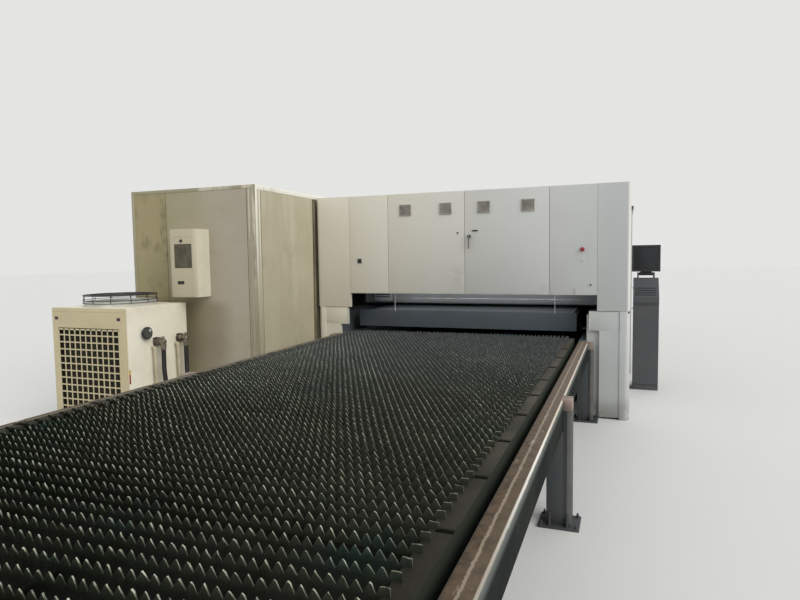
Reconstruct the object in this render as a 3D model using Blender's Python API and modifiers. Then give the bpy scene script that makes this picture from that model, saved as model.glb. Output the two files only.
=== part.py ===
"""Large flat-bed fiber laser cutting machine with a two-level exchange table.

Metres, +Z up. The sizes below are measured from the middle of the enclosure's front
face at floor level: +X to the right, +Y into the enclosure. The whole machine hangs on
one empty, which moves it so that the world origin is at the middle of its footprint.
"""

import math

import bmesh
import bpy
from mathutils import Matrix, Vector

# Clearance left between pieces that touch or slide on each other
GAP = 0.0003
# Largest angle, in radians, between faces that still count as one flat face
FLAT_ANGLE = 0.002
# Distance below which two points of one mesh are the same
WELD = 0.00001
# Flats round a small turned piece
SMALL_FACES = 12
# How far a joined shape reaches into its carrier, or a cutter past a face
BITE = 0.01
# The same where the carrier is thin
SMALL_BITE = 0.001

# Enclosure
ENCLOSURE_SIDE = 0.4825
ENCLOSURE_LENGTH = 7.9
ENCLOSURE_HEIGHT = 2.457
WALL = 0.04
CORNER_RADIUS = 0.055
CORNER_STEP = 30
FRONT_DEPTH = 0.45
DOORWAY_TOP = 1.304
COLUMN_BOTTOM = 1.138
COLUMN_LEFT_WIDTH = 0.439
COLUMN_RIGHT_WIDTH = 0.323
LEG_WIDTH = 0.1
SKIRT_INNER = 1.389
SKIRT_BOTTOM = 0.93
SKIRT_THICKNESS = 0.035
SKIRT_SETBACK = 0.008

# Cabinets over the doorway
DOOR_THICKNESS = 0.022
DOOR_SEAM = 0.004
DOOR_RAISE = 0.006
CABINET_SHEET = 0.02
CABINET_SEAMS = (-0.859, 0.058, 0.983)
VENT_SIZE = 0.138
VENT_BELOW_TOP = 0.117
VENT_PROUD = 0.012
VENT_INSETS = (0.128, 0.607)
VENT_DOORS = (2, 3)
BUTTON_DOOR = 4
HANDLE_X = 0.112
HANDLE_TOP = 1.956
HANDLE_LENGTH = 0.146
HANDLE_WIDTH = 0.026
HANDLE_PROUD = 0.03
HANDLE_THICKNESS = 0.012
HANDLE_BASE_RADIUS = 0.0182
HANDLE_CHAMFER = 0.006
BUTTON_INSET = 0.151
BUTTON_Z = 1.782
BUTTON_RADIUS = 0.022
BUTTON_TRAVEL = 0.005
BUTTON_CLEARANCE = 0.001
BUTTON_EDGE = 0.01
BUTTON_DOME = 0.012
BUTTON_CROWN_RADIUS = 0.0165
STEM_RADIUS = 0.012
STEM_TAIL = 0.006

# Side door in the right wall
SIDE_DOOR_START = 2.6
SIDE_DOOR_WIDTH = 1.8
SIDE_DOOR_LAP = 0.04
SIDE_DOOR_THICKNESS = 0.032
SIDE_DOOR_BELOW_TOP = 0.097
SIDE_DOOR_FLOOR_GAP = 0.03
WINDOW_WIDTH = 0.7
WINDOW_HEIGHT = 0.5
WINDOW_SILL = 1.3
WINDOW_THICKNESS = 0.006
DOOR_RAIL_HEIGHT = 0.04
DOOR_RAIL_DEPTH = 0.045

# Exchange table: rail beams on posts, and the tracks under them
TABLE_CENTRE = -0.064
PALLET_WIDTH = 2.623
PALLET_SIDE_GAP = 0.0395
RAIL_WIDTH = 0.1025
RAIL_DEPTH = 0.2
RAIL_TOP = 0.819
RAIL_CHAMFER = 0.006
RAIL_NEAR_END = -6.35
RAIL_FAR_END = -0.01
POST_DEPTH = 0.12
POST_PROUD = 0.053
POST_FIRST = -0.09
POST_PITCH = 2.6
POST_COUNT = 3
BASE_PLATE_OVERHANG = 0.05
BASE_PLATE_THICKNESS = 0.015
TRACK_TOP = 0.52
TRACK_THICKNESS = 0.008
TRACK_WIDTH = 0.105
TRACK_RISE = 0.08
TRACK_END = 7.4

# Pallets
PALLET_LENGTH = 6.2
LOWER_PALLET_START = -6.215
UPPER_PALLET_START = 0.3
LOWER_TIP = 0.878
LOWER_FRAME_BOTTOM = 0.64
UPPER_TIP = 1.09
UPPER_FRAME_BOTTOM = 0.925
SIDE_BEAM_WIDTH = 0.09
CROSS_BEAM_WIDTH = 0.08
FRAME_BELOW_TIPS = 0.032
SLAT_HEIGHT = 0.1
SLAT_THICKNESS = 0.004
SLAT_END_INSET = 0.0565
TOOTH_HEIGHT = 0.028
END_TAB = 0.03
END_TAB_BELOW_TIPS = 0.006
LOWER_SLATS = 31
LOWER_TEETH = 16
LOWER_BAYS = 5
UPPER_SLATS = 12
UPPER_TEETH = 6
UPPER_BAYS = 4

# Wheels
WHEEL_RADIUS = 0.05
WHEEL_FACES = 12
AXLE_RADIUS = 0.018
AXLE_TAIL = 0.006
SPINDLE_RADIUS = 0.016
WHEEL_WIDTH = 0.034
WHEELS_PER_SIDE = 3
WHEEL_END_INSET = 0.45
LOWER_WHEEL_INSET = 0.0245
HORN_THICKNESS = 0.015
HORN_WIDTH = 0.12
HORN_GAP = 0.02
HORN_BELOW_AXLE = 0.03
BRACKET_THICKNESS = 0.016
BRACKET_LENGTH = 0.1
BRACKET_OFFSET = 0.0085
BRACKET_FLANGE = 0.012
BRACKET_DROP = 0.08

# Drive shaft of the pallet chains
SHAFT_HEIGHT = 0.35
SHAFT_RADIUS = 0.025
SPROCKET_RADIUS = 0.08
SPROCKET_WIDTH = 0.02
SPROCKET_INSET = 0.046

# Bed under the cutting zone
BED_START = 0.05
BED_LENGTH = 7.5
BED_LEG_GAP = 0.0003
BED_TOP = 1.075
BED_LEDGE = 0.109
GUIDE_OUTSET = 0.05
GUIDE_WIDTH = 0.04
GUIDE_HEIGHT = 0.03
CROSS_BOTTOM = 0.08
CROSS_HEIGHT = 0.3
CROSS_WIDTH = 0.3
CROSS_INSET = 0.6
CROSS_CHAMFER = 0.02

# Gantry, carriage and cutting head
GANTRY_FRONT = 0.8
GANTRY_DEPTH = 0.34
GANTRY_BOTTOM = 1.13
GANTRY_HEIGHT = 0.27
GANTRY_CHAMFER = 0.04
GANTRY_END_INSET = 0.01
SADDLE_LENGTH = 0.5
SADDLE_WIDTH = 0.1
SADDLE_HEIGHT = 0.12
CARRIAGE_WIDTH = 0.26
CARRIAGE_DEPTH = 0.1
CARRIAGE_BOTTOM = 1.16
CARRIAGE_HEIGHT = 0.46
CARRIAGE_PARK = -1.15
CARRIAGE_CHAMFER = 0.03
HEAD_RADIUS = 0.06
HEAD_LENGTH = 0.42
HEAD_FACES = 16
CAP_RADIUS = 0.042
CAP_HEIGHT = 0.06
COLLAR_RADIUS = 0.033
CONE_HEIGHT = 0.05
NOZZLE_BOTTOM = 1.345
NOZZLE_LENGTH = 0.08
NOZZLE_SHOULDER = 0.024
NOZZLE_RADIUS = 0.008

# Operator console
CONSOLE_OUTSET = 0.196
CONSOLE_Y = 1.72
CONSOLE_WIDTH = 0.3
CONSOLE_DEPTH = 0.34
CONSOLE_HEIGHT = 1.42
CONSOLE_SHELF = 0.113
CONSOLE_PLINTH = 0.08
TOE_SETBACK = 0.05
KNEE_SETBACK = 0.03
DESK_HEIGHT = 1.18
DESK_EDGE = 0.06
DESK_UNDERCUT = 0.04
SCREEN_WIDTH = 0.34
SCREEN_HEIGHT = 0.34
SCREEN_DEPTH = 0.07
SCREEN_PIVOT = 1.47
SCREEN_BARREL = 0.02
SCREEN_EAR = 0.02
SCREEN_EAR_BITE = 0.005
SCREEN_CLEARANCE = 0.01
SCREEN_HINGE_WIDTH = 0.17
SCREEN_WEB_WIDTH = 0.136
SCREEN_WEB_THICKNESS = 0.02
SCREEN_BEVEL = (0.02, 0.03)
SCREEN_FACE = 0.28
SCREEN_RECESS = 0.006

# Laser source room
ROOM_GAP = 0.03
ROOM_WIDTH = 1.606
ROOM_FRONT = -1.254
ROOM_LENGTH = 2.4
ROOM_HEIGHT = 2.494
ROOM_WALL = 0.05
ROOM_DOOR_WIDTH = 0.8
ROOM_DOOR_HEIGHT = 1.95
ROOM_DOOR_SILL = 0.06
ROOM_DOOR_GAP = 0.003
DUCT_START = 0.75
DUCT_WIDTH = 0.16
DUCT_BOTTOM = 2.0
DUCT_HEIGHT = 0.12
SOURCE_WIDTH = 0.75
SOURCE_LENGTH = 1.0
SOURCE_HEIGHT = 1.25
SOURCE_FRONT_GAP = 0.45
SOURCE_CHAMFER = 0.03

# Air conditioner on the room's front
COOLER_INSET = 0.684
COOLER_WIDTH = 0.337
COOLER_DEPTH = 0.225
COOLER_BOTTOM = 1.34
COOLER_HEIGHT = 0.71
COOLER_CHAMFER = 0.024
COOLER_GRILLE_LEFT = 0.064
COOLER_GRILLE_WIDTH = 0.224
COOLER_GRILLE_BELOW_TOP = 0.155
COOLER_GRILLE_HEIGHT = 0.25
COOLER_GRILLE_RECESS = 0.012

# Chiller
CHILLER_OUTSET = 0.131
CHILLER_WIDTH = 0.918
CHILLER_FRONT = -2.225
CHILLER_LENGTH = 0.851
CHILLER_TOP = 1.279
CHILLER_FOOT = 0.07
FOOT_SIZE = 0.09
FOOT_INSET = 0.02
GRILLE_INSET = 0.078
GRILLE_BOTTOM = 0.17
GRILLE_TOP = 1.085
GRILLE_THICKNESS = 0.01
GRILLE_POCKET = 0.04
GRILLE_COLUMNS = 6
GRILLE_ROWS = 7
GRILLE_BAR = 0.03
SHROUD_RADIUS = 0.36
SHROUD_WALL = 0.03
SHROUD_HEIGHT = 0.03
SHROUD_FACES = 20
THROAT_DEPTH = 0.1
GUARD_RADIUS = 0.35
GUARD_HEIGHT = 0.083
GUARD_WIRE = 0.008
GUARD_SPOKES = 4
GUARD_HUB = 0.04
GUARD_HUB_LAP = 0.016
GUARD_FACES = 16
GUARD_MIDDLE_RADIUS = 0.21
GUARD_MIDDLE_DROP = 0.001
GUARD_HUB_DROP = 0.0015
SPOKE_WIDTH = 0.0064
SPOKE_THICKNESS = 0.0056
SPOKE_DROP = 0.0005
FAN_HUB_RADIUS = 0.09
FAN_HUB_HEIGHT = 0.08
FAN_BLADES = 5
FAN_BLADE_LENGTH = 0.19
FAN_BLADE_WIDTH = 0.1
FAN_BLADE_THICKNESS = 0.008
FAN_BLADE_LAP = 0.027
FAN_BLADE_FLARE = 1.4
FAN_NOSE_RADIUS = 0.072
FAN_NOSE_HEIGHT = 0.016
FAN_PITCH = 28
PORT_HEIGHT = 0.92
PORT_YS = (-1.832, -1.504)
PORT_REACH = 0.09
PORT_RADIUS = 0.03
PORT_DROP = 0.08
PORT_FACES = 10
ELBOW_RADIUS = 0.027
VALVE_STEM_RADIUS = 0.0135
STEM_HEIGHT = 0.045
LEVER_LENGTH = 0.13
LEVER_TAIL = 0.008
LEVER_CHAMFER = 0.005
LEVER_HUB_HEIGHT = 0.012
LEVER_WIDTH = 0.022
LEVER_THICKNESS = 0.008
LEVER_HUB = 0.016

# Hoses from the chiller's ports into the room's front wall
HOSE_RADIUS = 0.0225
GLAND_HEIGHT = 0.1
GLAND_INSETS = (0.356, 0.596)
GLAND_RADIUS = 0.036
GLAND_NOSE = 0.0288
GLAND_RIM = 0.01
GLAND_PROUD = 0.03
HOSE_POINTS = 20

# Worked-out places
HALF_PALLET = PALLET_WIDTH / 2
HALF_ENCLOSURE = HALF_PALLET + ENCLOSURE_SIDE
RAIL_INNER = HALF_PALLET + PALLET_SIDE_GAP
RAIL_OUTER = RAIL_INNER + RAIL_WIDTH
RAIL_CENTRE = RAIL_INNER + RAIL_WIDTH / 2
POST_OUTER = RAIL_OUTER + POST_PROUD
CABINET_LEFT = -HALF_ENCLOSURE + COLUMN_LEFT_WIDTH
CABINET_RIGHT = HALF_ENCLOSURE - COLUMN_RIGHT_WIDTH
BUTTON_X = CABINET_RIGHT - BUTTON_INSET
WALL_TOP = ENCLOSURE_HEIGHT - WALL
VENT_TOP = ENCLOSURE_HEIGHT - VENT_BELOW_TOP
SIDE_DOOR_TOP = ENCLOSURE_HEIGHT - SIDE_DOOR_BELOW_TOP
BED_OUTER = HALF_ENCLOSURE - LEG_WIDTH - abs(TABLE_CENTRE) - BED_LEG_GAP
ROOM_RIGHT = -HALF_ENCLOSURE - ROOM_GAP
ROOM_LEFT = ROOM_RIGHT - ROOM_WIDTH
ROOM_MIDDLE = (ROOM_LEFT + ROOM_RIGHT) / 2
GLAND_XS = tuple(ROOM_RIGHT - inset for inset in GLAND_INSETS)
COOLER_LEFT = ROOM_LEFT + COOLER_INSET
CHILLER_LEFT = ROOM_LEFT - CHILLER_OUTSET
CHILLER_RIGHT = CHILLER_LEFT + CHILLER_WIDTH
CONSOLE_X = HALF_ENCLOSURE + CONSOLE_OUTSET
CONSOLE_RIGHT = CONSOLE_X + SCREEN_WIDTH / 2
FAN_CENTRE = (CHILLER_LEFT + CHILLER_WIDTH / 2, CHILLER_FRONT + CHILLER_LENGTH / 2)
FOOTPRINT_CENTRE = ((CHILLER_LEFT + CONSOLE_RIGHT) / 2, (RAIL_NEAR_END + ENCLOSURE_LENGTH) / 2)

# Finishes: colour, roughness, metallic
FINISHES = {
    "enclosure_paint": ((0.58, 0.57, 0.52), 0.45, 0.0),
    "slat_steel": ((0.05, 0.052, 0.048), 0.7, 0.6),
    "rail_steel": ((0.2, 0.16, 0.13), 0.45, 0.7),
    "post_paint": ((0.06, 0.075, 0.08), 0.55, 0.0),
    "bed_paint": ((0.07, 0.085, 0.095), 0.5, 0.0),
    "wheel_steel": ((0.3, 0.3, 0.3), 0.35, 1.0),
    "gantry_paint": ((0.16, 0.18, 0.2), 0.4, 0.0),
    "head_aluminium": ((0.6, 0.6, 0.62), 0.35, 1.0),
    "room_panel": ((0.42, 0.38, 0.3), 0.5, 0.0),
    "cooler_paint": ((0.6, 0.55, 0.45), 0.45, 0.0),
    "chiller_paint": ((0.65, 0.6, 0.48), 0.45, 0.0),
    "grille_steel": ((0.12, 0.11, 0.09), 0.6, 0.5),
    "black_plastic": ((0.02, 0.02, 0.022), 0.4, 0.0),
    "black_wire": ((0.02, 0.02, 0.02), 0.5, 0.3),
    "hose_rubber": ((0.015, 0.015, 0.015), 0.6, 0.0),
    "red_plastic": ((0.5, 0.02, 0.015), 0.35, 0.0),
    "window_glass": ((0.1, 0.22, 0.08), 0.1, 0.0),
    "console_paint": ((0.09, 0.1, 0.11), 0.45, 0.0),
    "source_paint": ((0.5, 0.5, 0.5), 0.45, 0.0),
}

# How an outline's plane is turned so that its extrusion runs along each axis
TURNS = {
    "X": Matrix(((0, 0, 1), (1, 0, 0), (0, 1, 0))),
    "Y": Matrix(((1, 0, 0), (0, 0, -1), (0, 1, 0))),
    "Z": Matrix.Identity(3),
}


def clear_scene():
    """Remove what the start-up file holds."""
    for item in list(bpy.data.objects):
        bpy.data.objects.remove(item, do_unlink=True)


def make_collection(name):
    """A collection linked to the scene."""
    collection = bpy.data.collections.new(name)
    bpy.context.scene.collection.children.link(collection)
    return collection


def make_finish(name):
    """One plain Principled material."""
    colour, roughness, metallic = FINISHES[name]
    material = bpy.data.materials.new(name)
    material.use_nodes = True
    shader = material.node_tree.nodes["Principled BSDF"]
    shader.inputs["Base Color"].default_value = (*colour, 1.0)
    shader.inputs["Roughness"].default_value = roughness
    shader.inputs["Metallic"].default_value = metallic
    material.diffuse_color = (*colour, 1.0)
    return material


clear_scene()
MACHINE = make_collection("laser_cutting_machine")
MATERIALS = {name: make_finish(name) for name in FINISHES}
FOOTPRINT = bpy.data.objects.new("footprint", None)
FOOTPRINT.location = (-FOOTPRINT_CENTRE[0], -FOOTPRINT_CENTRE[1], 0)
MACHINE.objects.link(FOOTPRINT)


def place(name, mesh, location, finish):
    """Put a mesh on the machine's empty, at a place given from the enclosure's front."""
    mesh.name = name
    mesh.materials.clear()
    mesh.materials.append(MATERIALS[finish])
    piece = bpy.data.objects.new(name, mesh)
    piece.location = location
    piece.parent = FOOTPRINT
    MACHINE.objects.link(piece)
    return piece


def block(name, low, high, finish):
    """A rectangular block between two opposite corners."""
    low, high = Vector(low), Vector(high)
    shape = bmesh.new()
    bmesh.ops.create_cube(shape, size=1)
    bmesh.ops.scale(shape, vec=high - low, verts=shape.verts)
    mesh = bpy.data.meshes.new(name)
    shape.to_mesh(mesh)
    shape.free()
    return place(name, mesh, (low + high) / 2, finish)


def flat_curve(outlines, depth):
    """A filled 2D curve of one outline and its holes, extruded to a thickness."""
    curve = bpy.data.curves.new("outline", "CURVE")
    curve.dimensions = "2D"
    curve.fill_mode = "BOTH"
    curve.extrude = depth / 2
    for outline in outlines:
        spline = curve.splines.new("POLY")
        spline.points.add(len(outline) - 1)
        spline.use_cyclic_u = True
        for point, (across, up) in zip(spline.points, outline):
            point.co = (across, up, 0, 1)
    return curve


def curve_mesh(curve):
    """The curve's evaluated mesh with its caps welded."""
    holder = bpy.data.objects.new("holder", curve)
    MACHINE.objects.link(holder)
    evaluated = holder.evaluated_get(bpy.context.evaluated_depsgraph_get())
    mesh = bpy.data.meshes.new_from_object(evaluated)
    bpy.data.objects.remove(holder, do_unlink=True)
    bpy.data.curves.remove(curve)
    shape = bmesh.new()
    shape.from_mesh(mesh)
    bmesh.ops.remove_doubles(shape, verts=shape.verts, dist=WELD)
    bmesh.ops.recalc_face_normals(shape, faces=shape.faces)
    bmesh.ops.dissolve_limit(shape, angle_limit=FLAT_ANGLE, verts=shape.verts, edges=shape.edges)
    shape.to_mesh(mesh)
    shape.free()
    return mesh


def prism(name, outline, start, end, along, finish, holes=()):
    """An outline extruded from start to end: (y, z) along X, (x, z) along Y, (x, y) along Z."""
    middle = Vector((sum(p[0] for p in outline), sum(p[1] for p in outline))) / len(outline)
    loops = [[(p[0] - middle.x, p[1] - middle.y) for p in loop] for loop in (outline, *holes)]
    mesh = curve_mesh(flat_curve(loops, end - start))
    turn = TURNS[along]
    mesh.transform(turn.to_4x4())
    location = turn @ Vector((middle.x, middle.y, 0))
    location["XYZ".index(along)] = (start + end) / 2
    return place(name, mesh, location, finish)


def turned(name, profile, centre, along, faces, finish):
    """A profile of (radius, height) pairs, from its top down, turned about an axis."""
    mesh = bpy.data.meshes.new(name)
    points = [(radius, 0, height) for radius, height in profile]
    mesh.from_pydata(points, [(i, i + 1) for i in range(len(points) - 1)], [])
    piece = place(name, mesh, centre, finish)
    screw = piece.modifiers.new("turn", "SCREW")
    screw.steps = faces
    screw.render_steps = faces
    screw.use_merge_vertices = True
    screw.merge_threshold = 0.0001
    settle(piece)
    shape = bmesh.new()
    shape.from_mesh(piece.data)
    bmesh.ops.remove_doubles(shape, verts=shape.verts, dist=WELD)
    bmesh.ops.recalc_face_normals(shape, faces=shape.faces)
    shape.to_mesh(piece.data)
    shape.free()
    piece.data.transform(TURNS[along].to_4x4())
    return piece


def settle(piece):
    """Turn a piece's modifiers into its mesh."""
    bpy.context.view_layer.update()
    evaluated = piece.evaluated_get(bpy.context.evaluated_depsgraph_get())
    mesh = bpy.data.meshes.new_from_object(evaluated)
    old = piece.data
    piece.modifiers.clear()
    piece.data = mesh
    bpy.data.meshes.remove(old)
    mesh.name = piece.name


def merge_flats(piece):
    """Merge the coplanar faces that a Boolean or a curve's fill leaves behind."""
    shape = bmesh.new()
    shape.from_mesh(piece.data)
    bmesh.ops.dissolve_limit(shape, angle_limit=FLAT_ANGLE, verts=shape.verts, edges=shape.edges)
    shape.to_mesh(piece.data)
    shape.free()


def combine(piece, others, operation):
    """Join other pieces to this one, or cut them out of it, and remove them."""
    for other in others:
        change = piece.modifiers.new(other.name, "BOOLEAN")
        change.operation = operation
        change.solver = "EXACT"
        change.object = other
        settle(piece)
        bpy.data.objects.remove(other, do_unlink=True)
    merge_flats(piece)
    return piece


def join(piece, *others):
    """One body made of several."""
    return combine(piece, others, "UNION")


def cut(piece, *others):
    """A body with others taken out of it."""
    return combine(piece, others, "DIFFERENCE")


def repeat(piece, places):
    """Copies of a piece's mesh at several places, gathered in that one piece."""
    shape = bmesh.new()
    for offset in places:
        start = len(shape.verts)
        shape.from_mesh(piece.data)
        shape.verts.ensure_lookup_table()
        bmesh.ops.translate(shape, vec=offset, verts=shape.verts[start:])
    shape.to_mesh(piece.data)
    shape.free()
    return piece


def rectangle(low, high):
    """A rectangle's four corners."""
    return [(low[0], low[1]), (high[0], low[1]), (high[0], high[1]), (low[0], high[1])]


def chamfered(low, high, chamfer):
    """A rectangle's outline with its four corners cut."""
    left, bottom = low
    right, top = high
    return [(left + chamfer, bottom), (right - chamfer, bottom), (right, bottom + chamfer),
            (right, top - chamfer), (right - chamfer, top), (left + chamfer, top),
            (left, top - chamfer), (left, bottom + chamfer)]


def mirrored(outline, side):
    """An outline about the table's middle, on its left (-1) or right (1) side."""
    return [(TABLE_CENTRE + side * across, up) for across, up in outline]


def evenly(first, last, count):
    """Places spread evenly from first to last."""
    return [first + (last - first) * i / (count - 1) for i in range(count)]


def post_places():
    """The posts' middles along the table, from the enclosure outwards."""
    return [POST_FIRST - POST_PITCH * i for i in range(POST_COUNT)]


def wheel_places(start):
    """The wheels' middles along a pallet."""
    return evenly(start + WHEEL_END_INSET, start + PALLET_LENGTH - WHEEL_END_INSET, WHEELS_PER_SIDE)


def build_rail_beams():
    """The two box beams that carry the upper pallet outside."""
    section = chamfered((RAIL_INNER, RAIL_TOP - RAIL_DEPTH), (RAIL_OUTER, RAIL_TOP), RAIL_CHAMFER)
    for word, side in (("left", -1), ("right", 1)):
        prism(f"rail_beam_{word}", mirrored(section, side), RAIL_NEAR_END, RAIL_FAR_END, "Y", "rail_steel")


def build_posts():
    """Posts with a seat for the beam, an upstand beside it and a base plate."""
    seat = RAIL_TOP - RAIL_DEPTH - GAP
    section = [(RAIL_INNER, 0), (POST_OUTER, 0), (POST_OUTER, RAIL_TOP), (RAIL_OUTER + GAP, RAIL_TOP),
               (RAIL_OUTER + GAP, seat), (RAIL_INNER, seat)]
    for word, side in (("left", -1), ("right", 1)):
        for number, middle in enumerate(post_places(), 1):
            post = prism(f"post_{word}_{number}", mirrored(section, side),
                         middle - POST_DEPTH / 2, middle + POST_DEPTH / 2, "Y", "post_paint")
            near = middle - POST_DEPTH / 2 - BASE_PLATE_OVERHANG
            far = min(middle + POST_DEPTH / 2 + BASE_PLATE_OVERHANG, -GAP)
            ends = sorted(TABLE_CENTRE + side * across for across in
                          (RAIL_INNER - BASE_PLATE_OVERHANG, POST_OUTER + BASE_PLATE_OVERHANG))
            plate = block("plate", (ends[0], near, 0), (ends[1], far, BASE_PLATE_THICKNESS), "post_paint")
            join(post, plate)


def build_tracks():
    """Angle tracks under the beams that carry the lower pallet, outside and inside."""
    outer = RAIL_INNER - GAP
    section = [(outer, TRACK_TOP - TRACK_THICKNESS), (outer, TRACK_TOP + TRACK_RISE),
               (outer - TRACK_THICKNESS, TRACK_TOP + TRACK_RISE), (outer - TRACK_THICKNESS, TRACK_TOP),
               (outer - TRACK_WIDTH, TRACK_TOP), (outer - TRACK_WIDTH, TRACK_TOP - TRACK_THICKNESS)]
    for word, side in (("left", -1), ("right", 1)):
        prism(f"lower_track_{word}", mirrored(section, side), RAIL_NEAR_END, TRACK_END, "Y", "rail_steel")


def build_drive_shaft():
    """The cross shaft with a chain wheel at each side, between the outermost posts."""
    end = RAIL_INNER - GAP
    outer = end - SPROCKET_INSET
    inner = outer - SPROCKET_WIDTH
    profile = [(0, end), (SHAFT_RADIUS, end), (SHAFT_RADIUS, outer), (SPROCKET_RADIUS, outer),
               (SPROCKET_RADIUS, inner), (SHAFT_RADIUS, inner), (SHAFT_RADIUS, -inner),
               (SPROCKET_RADIUS, -inner), (SPROCKET_RADIUS, -outer), (SHAFT_RADIUS, -outer),
               (SHAFT_RADIUS, -end), (0, -end)]
    turned("drive_shaft", profile, (TABLE_CENTRE, post_places()[-1], SHAFT_HEIGHT), "X", WHEEL_FACES,
           "wheel_steel")


def pallet_frame(name, start, bottom, top, bays):
    """Side and cross beams as one ladder."""
    inner = HALF_PALLET - SIDE_BEAM_WIDTH
    end = start + PALLET_LENGTH
    outline = rectangle((TABLE_CENTRE - HALF_PALLET, start), (TABLE_CENTRE + HALF_PALLET, end))
    pitch = (PALLET_LENGTH - CROSS_BEAM_WIDTH) / bays
    holes = []
    for bay in range(bays):
        near = start + CROSS_BEAM_WIDTH + pitch * bay
        far = start + pitch * (bay + 1)
        holes.append(rectangle((TABLE_CENTRE - inner, near), (TABLE_CENTRE + inner, far)))
    return prism(name, outline, bottom, top, "Z", "slat_steel", holes)


def slat_outline(tip, teeth):
    """A slat's side view: a row of teeth between two square end tabs."""
    half = HALF_PALLET - SLAT_END_INSET
    bottom = tip - SLAT_HEIGHT
    valley = tip - TOOTH_HEIGHT
    shoulder = tip - END_TAB_BELOW_TIPS
    run = half - END_TAB
    pitch = 2 * run / teeth
    points = [(-half, bottom), (half, bottom), (half, shoulder), (run, shoulder)]
    for tooth in range(teeth):
        right = run - pitch * tooth
        points.append((right, valley))
        points.append((right - pitch / 2, tip))
    points += [(-run, valley), (-run, shoulder), (-half, shoulder)]
    return [(TABLE_CENTRE + across, up) for across, up in points]


def add_slats(pallet, start, tip, slats, teeth):
    """Rows of toothed slats standing in the pallet's side beams."""
    places = evenly(start + CROSS_BEAM_WIDTH / 2, start + PALLET_LENGTH - CROSS_BEAM_WIDTH / 2, slats)
    slat = prism("slat", slat_outline(tip, teeth), places[0] - SLAT_THICKNESS / 2,
                 places[0] + SLAT_THICKNESS / 2, "Y", "slat_steel")
    repeat(slat, [(0, place_along - places[0], 0) for place_along in places])
    return join(pallet, slat)


def build_lower_pallet():
    """The pallet that stands outside: slats, ladder frame and the horns that hold its axles."""
    pallet = pallet_frame("lower_pallet", LOWER_PALLET_START, LOWER_FRAME_BOTTOM,
                          LOWER_TIP - FRAME_BELOW_TIPS, LOWER_BAYS)
    axle = TRACK_TOP + WHEEL_RADIUS + GAP
    low = axle - HORN_BELOW_AXLE
    slot = AXLE_RADIUS + GAP
    outer = HALF_PALLET - LOWER_WHEEL_INSET - WHEEL_WIDTH - HORN_GAP
    for middle in wheel_places(LOWER_PALLET_START):
        horn = [(middle - HORN_WIDTH / 2, LOWER_FRAME_BOTTOM + SMALL_BITE), (middle - HORN_WIDTH / 2, low),
                (middle - slot, low), (middle - slot, axle + slot), (middle + slot, axle + slot),
                (middle + slot, low), (middle + HORN_WIDTH / 2, low),
                (middle + HORN_WIDTH / 2, LOWER_FRAME_BOTTOM + SMALL_BITE)]
        for side in (-1, 1):
            faces = sorted(TABLE_CENTRE + side * across for across in (outer - HORN_THICKNESS, outer))
            join(pallet, prism("horn", horn, faces[0], faces[1], "X", "slat_steel"))
    add_slats(pallet, LOWER_PALLET_START, LOWER_TIP, LOWER_SLATS, LOWER_TEETH)


def build_lower_wheelsets():
    """Axles with a wheel at each end, under the lower pallet."""
    outer = HALF_PALLET - LOWER_WHEEL_INSET
    inner = outer - WHEEL_WIDTH
    tail = outer + AXLE_TAIL
    profile = [(0, tail), (AXLE_RADIUS, tail), (AXLE_RADIUS, outer), (WHEEL_RADIUS, outer),
               (WHEEL_RADIUS, inner), (AXLE_RADIUS, inner), (AXLE_RADIUS, -inner), (WHEEL_RADIUS, -inner),
               (WHEEL_RADIUS, -outer), (AXLE_RADIUS, -outer), (AXLE_RADIUS, -tail), (0, -tail)]
    height = TRACK_TOP + WHEEL_RADIUS + GAP
    for number, middle in enumerate(wheel_places(LOWER_PALLET_START), 1):
        turned(f"lower_wheelset_{number}", profile, (TABLE_CENTRE, middle, height), "X",
               WHEEL_FACES, "wheel_steel")


def build_upper_pallet():
    """The pallet that waits inside: slats, ladder frame and outboard wheel brackets."""
    pallet = pallet_frame("upper_pallet", UPPER_PALLET_START, UPPER_FRAME_BOTTOM,
                          UPPER_TIP - FRAME_BELOW_TIPS, UPPER_BAYS)
    top = UPPER_FRAME_BOTTOM + SMALL_BITE
    inner = HALF_PALLET + BRACKET_OFFSET
    outer = inner + BRACKET_THICKNESS
    flange = UPPER_FRAME_BOTTOM - BRACKET_FLANGE
    low = UPPER_FRAME_BOTTOM - BRACKET_DROP
    section = [(HALF_PALLET - SIDE_BEAM_WIDTH / 2, top), (HALF_PALLET - SIDE_BEAM_WIDTH / 2, flange),
               (inner, flange), (inner, low), (outer, low), (outer, top)]
    for middle in wheel_places(UPPER_PALLET_START):
        for side in (-1, 1):
            join(pallet, prism("bracket", mirrored(section, side), middle - BRACKET_LENGTH / 2,
                               middle + BRACKET_LENGTH / 2, "Y", "slat_steel"))
    add_slats(pallet, UPPER_PALLET_START, UPPER_TIP, UPPER_SLATS, UPPER_TEETH)


def build_upper_wheels():
    """Wheels on stub spindles that roll on the beams' tops."""
    seat = HALF_PALLET + BRACKET_OFFSET + BRACKET_THICKNESS + GAP
    inner = RAIL_CENTRE - WHEEL_WIDTH / 2
    outer = RAIL_CENTRE + WHEEL_WIDTH / 2
    middle = (seat + outer) / 2
    height = RAIL_TOP + WHEEL_RADIUS + GAP
    for word, side in (("left", -1), ("right", 1)):
        profile = [(0, outer), (WHEEL_RADIUS, outer), (WHEEL_RADIUS, inner), (SPINDLE_RADIUS, inner),
                   (SPINDLE_RADIUS, seat), (0, seat)]
        shifted = [(radius, side * (along - middle)) for radius, along in profile]
        for number, place_along in enumerate(wheel_places(UPPER_PALLET_START), 1):
            turned(f"upper_wheel_{word}_{number}", shifted if side > 0 else shifted[::-1],
                   (TABLE_CENTRE + side * middle, place_along, height), "X", WHEEL_FACES,
                   "wheel_steel")


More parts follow.
